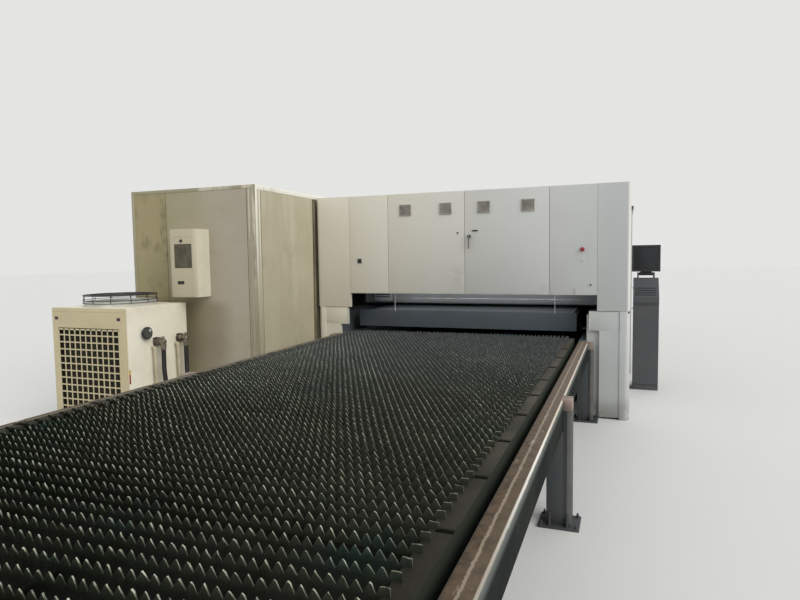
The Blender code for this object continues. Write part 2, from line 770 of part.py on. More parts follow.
def build_bed():
    """Bed sides with a pallet ledge and a guide rail on top, and the beams between them."""
    ledge = RAIL_INNER + BED_LEDGE
    guide_outer = BED_OUTER - GUIDE_OUTSET
    guide_inner = guide_outer - GUIDE_WIDTH
    guide_top = BED_TOP + GUIDE_HEIGHT
    section = [(RAIL_INNER, 0), (BED_OUTER, 0), (BED_OUTER, BED_TOP), (guide_outer, BED_TOP),
               (guide_outer, guide_top), (guide_inner, guide_top), (guide_inner, BED_TOP),
               (ledge, BED_TOP), (ledge, RAIL_TOP), (RAIL_INNER, RAIL_TOP)]
    for word, side in (("left", -1), ("right", 1)):
        prism(f"bed_side_{word}", mirrored(section, side), BED_START, BED_START + BED_LENGTH, "Y",
              "bed_paint")
    reach = RAIL_INNER - GAP
    for word, near in (("front", BED_START + CROSS_INSET),
                       ("rear", BED_START + BED_LENGTH - CROSS_INSET - CROSS_WIDTH)):
        high = (near + CROSS_WIDTH, CROSS_BOTTOM + CROSS_HEIGHT)
        outline = chamfered((near, CROSS_BOTTOM), high, CROSS_CHAMFER)
        prism(f"bed_cross_{word}", outline, TABLE_CENTRE - reach, TABLE_CENTRE + reach, "X", "bed_paint")


def build_gantry():
    """A box girder across the bed, on two saddles that ride the guide rails."""
    back = GANTRY_FRONT + GANTRY_DEPTH
    outline = chamfered((GANTRY_FRONT, GANTRY_BOTTOM), (back, GANTRY_BOTTOM + GANTRY_HEIGHT), GANTRY_CHAMFER)
    reach = BED_OUTER - GANTRY_END_INSET
    girder = prism("gantry_beam", outline, TABLE_CENTRE - reach, TABLE_CENTRE + reach, "X", "gantry_paint")
    saddle_bottom = BED_TOP + GUIDE_HEIGHT + GAP
    guide = BED_OUTER - GUIDE_OUTSET - GUIDE_WIDTH / 2
    middle = GANTRY_FRONT + GANTRY_DEPTH / 2
    for side in (-1, 1):
        centre = TABLE_CENTRE + side * guide
        join(girder, block("saddle", (centre - SADDLE_WIDTH / 2, middle - SADDLE_LENGTH / 2, saddle_bottom),
                           (centre + SADDLE_WIDTH / 2, middle + SADDLE_LENGTH / 2,
                            saddle_bottom + SADDLE_HEIGHT), "gantry_paint"))


def build_carriage():
    """The plate that runs along the girder's front face, with its motor cover on top."""
    centre = TABLE_CENTRE + CARRIAGE_PARK
    back = GANTRY_FRONT - GAP
    outline = chamfered((centre - CARRIAGE_WIDTH / 2, CARRIAGE_BOTTOM),
                        (centre + CARRIAGE_WIDTH / 2, CARRIAGE_BOTTOM + CARRIAGE_HEIGHT), CARRIAGE_CHAMFER)
    prism("carriage", outline, back - CARRIAGE_DEPTH, back, "Y", "gantry_paint")


def build_cutting_head():
    """A round head with a collar and a pointed nozzle."""
    top = HEAD_LENGTH
    profile = [(0, top), (CAP_RADIUS, top), (CAP_RADIUS, top - CAP_HEIGHT), (HEAD_RADIUS, top - CAP_HEIGHT),
               (HEAD_RADIUS, NOZZLE_LENGTH + CONE_HEIGHT), (COLLAR_RADIUS, NOZZLE_LENGTH),
               (NOZZLE_SHOULDER, NOZZLE_LENGTH / 2), (NOZZLE_RADIUS, 0), (0, 0)]
    centre = (TABLE_CENTRE + CARRIAGE_PARK,
              GANTRY_FRONT - 2 * GAP - CARRIAGE_DEPTH - HEAD_RADIUS, NOZZLE_BOTTOM)
    turned("cutting_head", profile, centre, "Z", HEAD_FACES, "head_aluminium")


def build_walls():
    """Side and rear walls and the roof behind the front cabinets."""
    outer = HALF_ENCLOSURE
    inner = outer - WALL
    front = FRONT_DEPTH + GAP
    rear = ENCLOSURE_LENGTH - WALL - GAP
    door_end = SIDE_DOOR_START + SIDE_DOOR_WIDTH
    block("enclosure_wall_left", (-outer, front, 0), (-inner, rear, WALL_TOP), "enclosure_paint")
    block("enclosure_wall_right_front", (inner, front, 0), (outer, SIDE_DOOR_START, WALL_TOP),
          "enclosure_paint")
    block("enclosure_wall_right_rear", (inner, door_end, 0), (outer, rear, WALL_TOP), "enclosure_paint")
    block("enclosure_rear", (-outer, rear + GAP, 0), (outer, ENCLOSURE_LENGTH, WALL_TOP), "enclosure_paint")
    block("enclosure_roof", (-outer, front, WALL_TOP + GAP),
          (outer, ENCLOSURE_LENGTH, ENCLOSURE_HEIGHT), "enclosure_paint")


def build_side_door():
    """The sliding service door with its window, hung under a rail."""
    inner = HALF_ENCLOSURE + GAP
    outer = inner + SIDE_DOOR_THICKNESS
    near = SIDE_DOOR_START - SIDE_DOOR_LAP
    far = SIDE_DOOR_START + SIDE_DOOR_WIDTH + SIDE_DOOR_LAP
    middle = (near + far) / 2
    window = rectangle((middle - WINDOW_WIDTH / 2, WINDOW_SILL),
                       (middle + WINDOW_WIDTH / 2, WINDOW_SILL + WINDOW_HEIGHT))
    prism("side_door", rectangle((near, SIDE_DOOR_FLOOR_GAP), (far, SIDE_DOOR_TOP)), inner, outer, "X",
          "enclosure_paint", [window])
    pane = (inner + outer) / 2
    block("side_door_window",
          (pane - WINDOW_THICKNESS / 2, middle - WINDOW_WIDTH / 2 + GAP, WINDOW_SILL + GAP),
          (pane + WINDOW_THICKNESS / 2, middle + WINDOW_WIDTH / 2 - GAP, WINDOW_SILL + WINDOW_HEIGHT - GAP),
          "window_glass")
    block("side_door_rail", (inner, near - SIDE_DOOR_LAP, SIDE_DOOR_TOP + GAP),
          (HALF_ENCLOSURE + DOOR_RAIL_DEPTH, far + SIDE_DOOR_WIDTH, SIDE_DOOR_TOP + DOOR_RAIL_HEIGHT),
          "rail_steel")


def front_column(name, side, width):
    """A column beside the doorway: a head with a round corner, a leg and a skirt."""
    outer = HALF_ENCLOSURE
    inner = outer - width
    corner = [(outer - CORNER_RADIUS + CORNER_RADIUS * math.sin(math.radians(angle)),
               CORNER_RADIUS - CORNER_RADIUS * math.cos(math.radians(angle)))
              for angle in range(0, 91, CORNER_STEP)]
    head = [(inner, 0), *corner, (outer, FRONT_DEPTH), (inner, FRONT_DEPTH)]
    column = prism(name, [(side * x, y) for x, y in head], 0, ENCLOSURE_HEIGHT, "Z", "enclosure_paint")
    ends = sorted((side * (inner - BITE), side * (outer - LEG_WIDTH)))
    cut(column, block("passage", (ends[0], -BITE, -BITE), (ends[1], FRONT_DEPTH + BITE, COLUMN_BOTTOM),
                      "enclosure_paint"))
    ends = sorted((side * SKIRT_INNER, side * (outer - LEG_WIDTH + BITE)))
    join(column, block("skirt", (ends[0], SKIRT_SETBACK, SKIRT_BOTTOM),
                       (ends[1], SKIRT_THICKNESS, COLUMN_BOTTOM + BITE), "enclosure_paint"))


def build_cabinet_shell():
    """The open-fronted cabinet over the doorway, one bay behind each door."""
    front = DOOR_THICKNESS + GAP
    shell = block("cabinet_shell", (CABINET_LEFT + GAP, front, DOORWAY_TOP),
                  (CABINET_RIGHT - GAP, FRONT_DEPTH, ENCLOSURE_HEIGHT), "enclosure_paint")
    edges = [CABINET_LEFT, *CABINET_SEAMS, CABINET_RIGHT]
    for left, right in zip(edges, edges[1:]):
        bay = block("bay", (left + CABINET_SHEET, front - BITE, DOORWAY_TOP + CABINET_SHEET),
                    (right - CABINET_SHEET, FRONT_DEPTH - CABINET_SHEET, ENCLOSURE_HEIGHT - CABINET_SHEET),
                    "enclosure_paint")
        cut(shell, bay)


def build_cabinet_doors():
    """Four flush doors: the two wide ones carry filter vents, the last the stop button's hole."""
    edges = [CABINET_LEFT, *CABINET_SEAMS, CABINET_RIGHT]
    for number, (left, right) in enumerate(zip(edges, edges[1:]), 1):
        door = block(f"cabinet_door_{number}",
                     (left + DOOR_SEAM / 2, 0, DOORWAY_TOP + DOOR_RAISE),
                     (right - DOOR_SEAM / 2, DOOR_THICKNESS, ENCLOSURE_HEIGHT - DOOR_RAISE),
                     "enclosure_paint")
        if number in VENT_DOORS:
            for inset in VENT_INSETS:
                join(door, block("vent", (left + inset, -VENT_PROUD, VENT_TOP - VENT_SIZE),
                                 (left + inset + VENT_SIZE, SMALL_BITE, VENT_TOP), "enclosure_paint"))
        if number == BUTTON_DOOR:
            reach = DOOR_THICKNESS + BITE
            bore = STEM_RADIUS + 2 * GAP
            cut(door, turned("hole", [(0, reach), (bore, reach), (bore, -reach), (0, -reach)],
                             (BUTTON_X, 0, BUTTON_Z), "Y", SMALL_FACES, "enclosure_paint"))


def build_door_handle():
    """The swing handle of the double doors: a bar on a round base."""
    half = HANDLE_PROUD / 2
    radius = HANDLE_BASE_RADIUS
    base = turned("door_handle", [(0, half), (radius, half), (radius, -half), (0, -half)],
                  (HANDLE_X, -GAP - half, HANDLE_TOP - HANDLE_WIDTH / 2), "Y", SMALL_FACES, "black_plastic")
    outline = chamfered((HANDLE_X - HANDLE_WIDTH / 2, HANDLE_TOP - HANDLE_LENGTH),
                        (HANDLE_X + HANDLE_WIDTH / 2, HANDLE_TOP), HANDLE_CHAMFER)
    front = -GAP - HANDLE_PROUD
    join(base, prism("bar", outline, front - HANDLE_THICKNESS, front + SMALL_BITE, "Y", "black_plastic"))


def build_stop_button():
    """A mushroom button whose stem passes through the last door."""
    back = BUTTON_TRAVEL + BUTTON_CLEARANCE
    crown = back + BUTTON_EDGE + BUTTON_DOME
    tail = -DOOR_THICKNESS - STEM_TAIL
    profile = [(0, crown), (BUTTON_CROWN_RADIUS, crown), (BUTTON_RADIUS, back + BUTTON_EDGE),
               (BUTTON_RADIUS, back), (STEM_RADIUS, back), (STEM_RADIUS, tail), (0, tail)]
    turned("estop_button", profile, (BUTTON_X, 0, BUTTON_Z), "Y", SMALL_FACES, "red_plastic")


def build_console():
    """A standing console with a tilting screen between two ears."""
    left = CONSOLE_X - CONSOLE_WIDTH / 2
    right = CONSOLE_X + CONSOLE_WIDTH / 2
    near = CONSOLE_Y - CONSOLE_DEPTH / 2
    far = CONSOLE_Y + CONSOLE_DEPTH / 2
    under = DESK_HEIGHT - DESK_EDGE
    knee = near + KNEE_SETBACK
    toe = near + TOE_SETBACK
    outline = [(toe, 0), (far, 0), (far, CONSOLE_HEIGHT), (far - CONSOLE_SHELF, CONSOLE_HEIGHT),
               (near, DESK_HEIGHT), (near, under), (knee, under - DESK_UNDERCUT),
               (knee, CONSOLE_PLINTH), (toe, CONSOLE_PLINTH)]
    cabinet = prism("console_cabinet", outline, left, right, "X", "console_paint")
    pivot = far - CONSOLE_SHELF / 2
    half = SCREEN_HINGE_WIDTH / 2
    foot = CONSOLE_HEIGHT - SCREEN_EAR_BITE
    ear = [(pivot - SCREEN_BARREL, foot), (pivot + SCREEN_BARREL, foot),
           *[(pivot + SCREEN_BARREL * math.cos(math.radians(angle)),
              SCREEN_PIVOT + SCREEN_BARREL * math.sin(math.radians(angle))) for angle in range(0, 181, 45)]]
    for start in (CONSOLE_X - half - GAP - SCREEN_EAR, CONSOLE_X + half + GAP):
        join(cabinet, prism("ear", ear, start, start + SCREEN_EAR, "X", "console_paint"))
    build_screen(pivot, half)


def build_screen(pivot, half):
    """The screen's housing with its recessed face and its hinge barrel."""
    bottom = SCREEN_PIVOT + SCREEN_BARREL + SCREEN_CLEARANCE
    top = bottom + SCREEN_HEIGHT
    front = pivot - SCREEN_DEPTH / 2
    back = pivot + SCREEN_DEPTH / 2
    inward, up = SCREEN_BEVEL
    outline = [(front, bottom), (back - inward, bottom), (back, bottom + up), (back, top - up),
               (back - inward, top), (front, top)]
    screen = prism("console_screen", outline, CONSOLE_X - SCREEN_WIDTH / 2, CONSOLE_X + SCREEN_WIDTH / 2,
                   "X", "black_plastic")
    middle = (bottom + top) / 2
    cut(screen, block("face", (CONSOLE_X - SCREEN_FACE / 2, front - BITE, middle - SCREEN_FACE / 2),
                      (CONSOLE_X + SCREEN_FACE / 2, front + SCREEN_RECESS, middle + SCREEN_FACE / 2),
                      "black_plastic"))
    barrel = turned("barrel", [(0, half), (SCREEN_BARREL, half), (SCREEN_BARREL, -half), (0, -half)],
                    (CONSOLE_X, pivot, SCREEN_PIVOT), "X", SMALL_FACES, "black_plastic")
    web = block("web", (CONSOLE_X - SCREEN_WEB_WIDTH / 2, pivot - SCREEN_WEB_THICKNESS / 2, SCREEN_PIVOT),
                (CONSOLE_X + SCREEN_WEB_WIDTH / 2, pivot + SCREEN_WEB_THICKNESS / 2, bottom + SMALL_BITE),
                "black_plastic")
    join(screen, web, barrel)


def build_room():
    """The insulated room for the laser source, with its door's hole and a duct to the enclosure."""
    back = ROOM_FRONT + ROOM_LENGTH
    room = block("room_shell", (ROOM_LEFT, ROOM_FRONT, 0), (ROOM_RIGHT, back, ROOM_HEIGHT), "room_panel")
    cut(room,
        block("inside", (ROOM_LEFT + ROOM_WALL, ROOM_FRONT + ROOM_WALL, ROOM_WALL),
              (ROOM_RIGHT - ROOM_WALL, back - ROOM_WALL, ROOM_HEIGHT - ROOM_WALL), "room_panel"),
        block("doorway", (ROOM_MIDDLE - ROOM_DOOR_WIDTH / 2, back - ROOM_WALL - BITE, ROOM_DOOR_SILL),
              (ROOM_MIDDLE + ROOM_DOOR_WIDTH / 2, back + BITE, ROOM_DOOR_SILL + ROOM_DOOR_HEIGHT),
              "room_panel"))
    for across in GLAND_XS:
        gland = turned("gland", [(0, GLAND_PROUD), (GLAND_NOSE, GLAND_PROUD), (GLAND_RADIUS, GLAND_RIM),
                                 (GLAND_RADIUS, -BITE), (0, -BITE)],
                       (across, ROOM_FRONT, GLAND_HEIGHT), "Y", SMALL_FACES, "room_panel")
        join(room, gland)
    join(room, block("duct", (ROOM_RIGHT - BITE, DUCT_START, DUCT_BOTTOM),
                     (-HALF_ENCLOSURE - GAP, DUCT_START + DUCT_WIDTH, DUCT_BOTTOM + DUCT_HEIGHT),
                     "room_panel"))
    left = ROOM_MIDDLE - ROOM_DOOR_WIDTH / 2
    right = ROOM_MIDDLE + ROOM_DOOR_WIDTH / 2
    block("room_door", (left + ROOM_DOOR_GAP, back - ROOM_WALL, ROOM_DOOR_SILL + ROOM_DOOR_GAP),
          (right - GAP, back, ROOM_DOOR_SILL + ROOM_DOOR_HEIGHT - ROOM_DOOR_GAP), "room_panel")


def build_laser_source():
    """The laser source's cabinet, standing on the room's floor."""
    front = ROOM_FRONT + ROOM_WALL + SOURCE_FRONT_GAP
    bottom = ROOM_WALL + GAP
    outline = chamfered((ROOM_MIDDLE - SOURCE_WIDTH / 2, bottom),
                        (ROOM_MIDDLE + SOURCE_WIDTH / 2, bottom + SOURCE_HEIGHT), SOURCE_CHAMFER)
    prism("laser_source", outline, front, front + SOURCE_LENGTH, "Y", "source_paint")


def build_air_conditioner():
    """A flat wall unit with cut edges and a recessed grille field."""
    back = ROOM_FRONT - GAP
    front = back - COOLER_DEPTH
    right = COOLER_LEFT + COOLER_WIDTH
    outline = [(COOLER_LEFT + COOLER_CHAMFER, front), (right - COOLER_CHAMFER, front),
               (right, front + COOLER_CHAMFER), (right, back), (COOLER_LEFT, back),
               (COOLER_LEFT, front + COOLER_CHAMFER)]
    top = COOLER_BOTTOM + COOLER_HEIGHT
    unit = prism("air_conditioner", outline, COOLER_BOTTOM, top, "Z", "cooler_paint")
    left = COOLER_LEFT + COOLER_GRILLE_LEFT
    grille_top = top - COOLER_GRILLE_BELOW_TOP
    cut(unit, block("grille", (left, front - BITE, grille_top - COOLER_GRILLE_HEIGHT),
                    (left + COOLER_GRILLE_WIDTH, front + COOLER_GRILLE_RECESS, grille_top), "cooler_paint"))


def build_chiller():
    """The chiller's casing on four feet, with its fan throat, grille pocket and water ports."""
    right = CHILLER_RIGHT
    back = CHILLER_FRONT + CHILLER_LENGTH
    casing = block("chiller_body", (CHILLER_LEFT, CHILLER_FRONT, CHILLER_FOOT),
                   (right, back, CHILLER_TOP), "chiller_paint")
    shroud = turned("shroud", [(0, SHROUD_HEIGHT), (SHROUD_RADIUS, SHROUD_HEIGHT), (SHROUD_RADIUS, -BITE),
                               (0, -BITE)], (*FAN_CENTRE, CHILLER_TOP), "Z", SHROUD_FACES, "chiller_paint")
    inner = SHROUD_RADIUS - SHROUD_WALL
    throat = turned("throat", [(0, SHROUD_HEIGHT + BITE), (inner, SHROUD_HEIGHT + BITE),
                               (inner, -THROAT_DEPTH), (0, -THROAT_DEPTH)],
                    (*FAN_CENTRE, CHILLER_TOP), "Z", SHROUD_FACES, "chiller_paint")
    pocket = block("pocket", (CHILLER_LEFT + GRILLE_INSET, CHILLER_FRONT - BITE, GRILLE_BOTTOM),
                   (right - GRILLE_INSET, CHILLER_FRONT + GRILLE_POCKET, GRILLE_TOP), "chiller_paint")
    join(casing, shroud)
    cut(casing, throat, pocket)
    for corner_x in (CHILLER_LEFT + FOOT_INSET, right - FOOT_INSET - FOOT_SIZE):
        for corner_y in (CHILLER_FRONT + FOOT_INSET, back - FOOT_INSET - FOOT_SIZE):
            join(casing, block("foot", (corner_x, corner_y, 0),
                               (corner_x + FOOT_SIZE, corner_y + FOOT_SIZE, CHILLER_FOOT + BITE),
                               "chiller_paint"))
    for along in PORT_YS:
        pipe = turned("pipe", [(0, PORT_REACH + PORT_RADIUS), (PORT_RADIUS, PORT_REACH + PORT_RADIUS),
                               (PORT_RADIUS, -BITE), (0, -BITE)],
                      (right, along, PORT_HEIGHT), "X", PORT_FACES, "chiller_paint")
        down = turned("down", [(0, STEM_HEIGHT), (VALVE_STEM_RADIUS, STEM_HEIGHT),
                               (VALVE_STEM_RADIUS, 0), (ELBOW_RADIUS, 0),
                               (ELBOW_RADIUS, -PORT_DROP), (0, -PORT_DROP)],
                      (right + PORT_REACH, along, PORT_HEIGHT), "Z", PORT_FACES, "chiller_paint")
        join(casing, pipe, down)


def build_chiller_grille():
    """The front plate with its field of square holes, flush in the casing."""
    low = (CHILLER_LEFT + GRILLE_INSET + GAP, GRILLE_BOTTOM + GAP)
    high = (CHILLER_RIGHT - GRILLE_INSET - GAP, GRILLE_TOP - GAP)
    step_x = (high[0] - low[0] - GRILLE_BAR) / GRILLE_COLUMNS
    step_z = (high[1] - low[1] - GRILLE_BAR) / GRILLE_ROWS
    holes = []
    for column in range(GRILLE_COLUMNS):
        for row in range(GRILLE_ROWS):
            corner = (low[0] + GRILLE_BAR + step_x * column, low[1] + GRILLE_BAR + step_z * row)
            far = (corner[0] + step_x - GRILLE_BAR, corner[1] + step_z - GRILLE_BAR)
            holes.append(rectangle(corner, far))
    prism("chiller_grille", rectangle(low, high), CHILLER_FRONT, CHILLER_FRONT + GRILLE_THICKNESS, "Y",
          "grille_steel", holes)


def ring(name, radius, centre, faces, finish):
    """A ring of square wire."""
    half = GUARD_WIRE / 2
    piece = turned(name, [(0, half), (radius + half, half), (radius + half, -half), (0, -half)],
                   centre, "Z", faces, finish)
    hole = turned("hole", [(0, BITE), (radius - half, BITE), (radius - half, -BITE), (0, -BITE)],
                  centre, "Z", faces, finish)
    return cut(piece, hole)


def build_fan_guard():
    """Rings of wire on bent spokes that stand on the shroud."""
    base = CHILLER_TOP + SHROUD_HEIGHT + GAP
    half = GUARD_WIRE / 2
    middle = base + GUARD_HEIGHT - half
    guard = ring("fan_guard", GUARD_RADIUS, (*FAN_CENTRE, middle), GUARD_FACES, "black_wire")
    join(guard, ring("middle_ring", GUARD_MIDDLE_RADIUS, (*FAN_CENTRE, middle - GUARD_MIDDLE_DROP),
                     SMALL_FACES, "black_wire"))
    join(guard, turned("hub", [(0, half), (GUARD_HUB, half), (GUARD_HUB, -GUARD_WIRE), (0, -GUARD_WIRE)],
                       (*FAN_CENTRE, middle - GUARD_HUB_DROP), "Z", SMALL_FACES, "black_wire"))
    near = GUARD_HUB - GUARD_HUB_LAP
    reach = GUARD_RADIUS - near
    for number in range(GUARD_SPOKES):
        angle = math.tau * (number + 0.5) / GUARD_SPOKES
        spoke = block("spoke", (near, -SPOKE_WIDTH / 2, -SPOKE_THICKNESS / 2),
                      (near + reach, SPOKE_WIDTH / 2, SPOKE_THICKNESS / 2), "black_wire")
        spoke.data.transform(Matrix.Translation(spoke.location))
        spoke.data.transform(Matrix.Rotation(angle, 4, "Z"))
        spoke.location = (*FAN_CENTRE, middle - SPOKE_DROP)
        join(guard, spoke)
        across = FAN_CENTRE[0] + (GUARD_RADIUS - SMALL_BITE) * math.cos(angle)
        along = FAN_CENTRE[1] + (GUARD_RADIUS - SMALL_BITE) * math.sin(angle)
        join(guard, block("leg", (across - half, along - half, base),
                          (across + half, along + half, middle), "black_wire"))


def build_fan_rotor():
    """A hub with pitched blades in the throat."""
    base = CHILLER_TOP - THROAT_DEPTH + GAP
    profile = [(0, FAN_HUB_HEIGHT), (FAN_NOSE_RADIUS, FAN_HUB_HEIGHT),
               (FAN_HUB_RADIUS, FAN_HUB_HEIGHT - FAN_NOSE_HEIGHT), (FAN_HUB_RADIUS, 0), (0, 0)]
    hub = turned("fan_rotor", profile, (*FAN_CENTRE, base), "Z", SMALL_FACES, "black_plastic")
    reach = FAN_BLADE_LENGTH + FAN_BLADE_LAP
    out = Matrix.Translation((FAN_HUB_RADIUS - FAN_BLADE_LAP + reach / 2, 0, FAN_HUB_HEIGHT / 2))
    pitch = Matrix.Rotation(math.radians(FAN_PITCH), 4, "X")
    corner = Vector((reach, FAN_BLADE_WIDTH, FAN_BLADE_THICKNESS)) / 2
    for number in range(FAN_BLADES):
        blade = block("blade", -corner, corner, "black_plastic")
        for vert in blade.data.vertices:
            if vert.co.x > 0:
                vert.co.y *= FAN_BLADE_FLARE
        turn = Matrix.Rotation(math.tau * number / FAN_BLADES, 4, "Z")
        blade.data.transform(turn @ out @ pitch)
        blade.location = (*FAN_CENTRE, base)
        join(hub, blade)


def build_valve_levers():
    """Lever handles on the ports' stems, pointing along the casing."""
    bottom = PORT_HEIGHT + STEM_HEIGHT + GAP
    across = CHILLER_RIGHT + PORT_REACH
    for number, along in enumerate(PORT_YS, 1):
        hub = [(0, LEVER_HUB_HEIGHT), (LEVER_HUB, LEVER_HUB_HEIGHT), (LEVER_HUB, 0), (0, 0)]
        lever = turned(f"valve_lever_{number}", hub, (across, along, bottom), "Z", PORT_FACES, "wheel_steel")
        outline = chamfered((across - LEVER_WIDTH / 2, along - LEVER_LENGTH),
                            (across + LEVER_WIDTH / 2, along + LEVER_TAIL), LEVER_CHAMFER)
        join(lever, prism("bar", outline, bottom + SMALL_BITE, bottom + LEVER_THICKNESS, "Z", "wheel_steel"))


def smooth_route(points, count):
    """Points spread along a smooth curve through the chosen ones."""
    places = [Vector(point) for point in points]
    places = [places[0] * 2 - places[1], *places, places[-1] * 2 - places[-2]]
    spans = len(places) - 3
    route = []
    for step in range(count):
        at = spans * step / (count - 1)
        span = min(int(at), spans - 1)
        t = at - span
        a, b, c, d = places[span:span + 4]
        route.append(0.5 * (2 * b + (c - a) * t + (2 * a - 5 * b + 4 * c - d) * t ** 2
                            + (3 * b - a - 3 * c + d) * t ** 3))
    return route


def hose(name, points):
    """A plain tube along a route."""
    curve = bpy.data.curves.new(name, "CURVE")
    curve.dimensions = "3D"
    curve.bevel_depth = HOSE_RADIUS
    curve.bevel_resolution = 2
    curve.use_fill_caps = True
    spline = curve.splines.new("POLY")
    route = smooth_route(points, HOSE_POINTS)
    middle = sum(route, Vector()) / len(route)
    spline.points.add(len(route) - 1)
    for point, where in zip(spline.points, route):
        point.co = (*(where - middle), 1)
    place(name, curve_mesh(curve), middle, "hose_rubber")


def build_hoses():
    """Two hoses that drop from the ports and run along the floor into the room's wall."""
    across = CHILLER_RIGHT + PORT_REACH
    top = PORT_HEIGHT - PORT_DROP - GAP
    near, far = PORT_YS
    end = ROOM_FRONT - GLAND_PROUD - GAP
    right, left = GLAND_XS
    hose("hose_supply", [(across, near, top), (across, near, top - 0.1), (across, near, top - 0.2),
                         (across + 0.015, near + 0.005, 0.5), (across + 0.05, near + 0.03, 0.33),
                         (across + 0.12, near + 0.08, 0.17), (across + 0.22, near + 0.16, 0.07),
                         (right - 0.05, near + 0.27, 0.05), (right - 0.005, end - 0.16, 0.075),
                         (right, end - 0.08, GLAND_HEIGHT), (right, end - 0.04, GLAND_HEIGHT),
                         (right, end, GLAND_HEIGHT)])
    hose("hose_return", [(across, far, top), (across, far, top - 0.1), (across, far, top - 0.2),
                         (across + 0.02, far - 0.02, 0.5), (across + 0.06, far - 0.07, 0.33),
                         (across + 0.1, far - 0.11, 0.19), (left - 0.03, far - 0.1, 0.08),
                         (left - 0.005, far - 0.01, 0.055), (left, end - 0.1, 0.085),
                         (left, end - 0.05, GLAND_HEIGHT), (left, end - 0.025, GLAND_HEIGHT),
                         (left, end, GLAND_HEIGHT)])


build_rail_beams()
build_posts()
build_tracks()
build_drive_shaft()
build_lower_pallet()
build_lower_wheelsets()
build_upper_pallet()
build_upper_wheels()
build_bed()
build_gantry()
build_carriage()
build_cutting_head()
build_walls()
build_side_door()
front_column("front_column_left", -1, COLUMN_LEFT_WIDTH)
front_column("front_column_right", 1, COLUMN_RIGHT_WIDTH)
build_cabinet_shell()
build_cabinet_doors()
build_door_handle()
build_stop_button()
build_console()
build_room()
build_laser_source()
build_air_conditioner()
build_chiller()
build_chiller_grille()
build_fan_guard()
build_fan_rotor()
build_valve_levers()
build_hoses()
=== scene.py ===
"""Looks of a large flat-bed fiber laser cutting machine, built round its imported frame.

Metres, +Z up, in the frame's own axes: +X to the right of the machine's front, +Y into
the enclosure. Places named in the settings below are measured from the middle of the
enclosure's front at floor level.
"""

import math
from contextlib import contextmanager

import bmesh
import bpy
from bpy.props import FloatProperty, FloatVectorProperty, IntProperty, PointerProperty
from mathutils import Matrix, Vector


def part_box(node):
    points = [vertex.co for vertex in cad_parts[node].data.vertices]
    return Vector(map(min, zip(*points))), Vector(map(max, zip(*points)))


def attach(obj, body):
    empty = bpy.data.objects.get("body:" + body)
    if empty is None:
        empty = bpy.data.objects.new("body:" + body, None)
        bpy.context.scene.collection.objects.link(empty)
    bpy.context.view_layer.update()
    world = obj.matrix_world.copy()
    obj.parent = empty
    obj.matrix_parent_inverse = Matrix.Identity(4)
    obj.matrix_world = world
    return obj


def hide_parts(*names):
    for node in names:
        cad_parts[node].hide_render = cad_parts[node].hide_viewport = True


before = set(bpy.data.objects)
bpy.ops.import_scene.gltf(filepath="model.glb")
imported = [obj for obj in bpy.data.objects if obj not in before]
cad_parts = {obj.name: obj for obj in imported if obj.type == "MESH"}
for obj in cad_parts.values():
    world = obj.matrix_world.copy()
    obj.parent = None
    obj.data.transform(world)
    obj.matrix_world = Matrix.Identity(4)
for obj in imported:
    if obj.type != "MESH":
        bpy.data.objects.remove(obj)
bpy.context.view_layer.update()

bl_info = {
    "name": "Flat-bed laser cutting machine",
    "version": (1, 0, 0),
    "blender": (4, 5, 0),
    "location": "3D View > Sidebar > Laser Cutter",
    "description": "Dresses the packed frame of a flat-bed laser cutting machine",
    "category": "Object",
}

MACHINE = "machine"
# Angle up to which neighbouring faces shade as one surface
SMOOTH_ANGLE = math.radians(35)

# Where the machine's own zero lies in the frame
ROOF_LOW, ROOF_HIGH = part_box("enclosure_roof")
MIDDLE_X = (ROOF_LOW.x + ROOF_HIGH.x) / 2
FRONT_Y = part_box("cabinet_door_1")[0].y
GAP = 0.0003
# How far the room's front stands before the enclosure's, and the pallets' exchange travel
ROOM_FRONT = -1.254
EXCHANGE_TRAVEL = 6.35
# How far cross beams reach into the beams that they are welded to
WELD = 0.004
SIDES = (("left", -1), ("right", 1))


def spot(x, y, z):
    """A place measured from the middle of the enclosure's front, in the frame's axes."""
    return Vector((MIDDLE_X + x, FRONT_Y + y, z))


def shade(red, green, blue):
    """A screen colour, 0 to 255, as the linear colour that a shader takes."""
    levels = [level / 255 for level in (red, green, blue)]
    linear = [v / 12.92 if v <= 0.04045 else ((v + 0.055) / 1.055) ** 2.4 for v in levels]
    return (*linear, 1.0)


# Modelling by hand


def alone(piece):
    """Make one piece the only selected one."""
    bpy.ops.object.select_all(action="DESELECT")
    piece.select_set(True)
    bpy.context.view_layer.objects.active = piece
    return piece


def settle(piece):
    """Put a piece's place, turn and size into its mesh."""
    alone(piece)
    bpy.ops.object.transform_apply(location=True, rotation=True, scale=True)
    return piece


@contextmanager
def editing(piece):
    """Edit mode on one piece, starting with nothing selected."""
    alone(piece)
    bpy.ops.object.mode_set(mode="EDIT")
    bpy.ops.mesh.select_all(action="DESELECT")
    try:
        yield bmesh.from_edit_mesh(piece.data)
    finally:
        bpy.ops.object.mode_set(mode="OBJECT")


def pick(piece, shape, faces=None, edges=None, verts=None):
    """Select the faces, edges or points that pass a test of their place and normal."""
    kind = "FACE" if faces else "EDGE" if edges else "VERT"
    bpy.ops.mesh.select_mode(type=kind)
    items = shape.faces if faces else shape.edges if edges else shape.verts
    test = faces or edges or verts
    found = [item for item in items if test(item)]
    for item in items:
        item.select_set(False)
    for item in found:
        item.select_set(True)
    shape.select_flush_mode()
    bmesh.update_edit_mesh(piece.data)
    return len(found)


def linked(item):
    """Put an object into the scene."""
    bpy.context.scene.collection.objects.link(item)
    return item


def new_piece(name):
    """The object that the last primitive made, named and settled."""
    piece = bpy.context.active_object
    piece.name = piece.data.name = name
    return settle(piece)


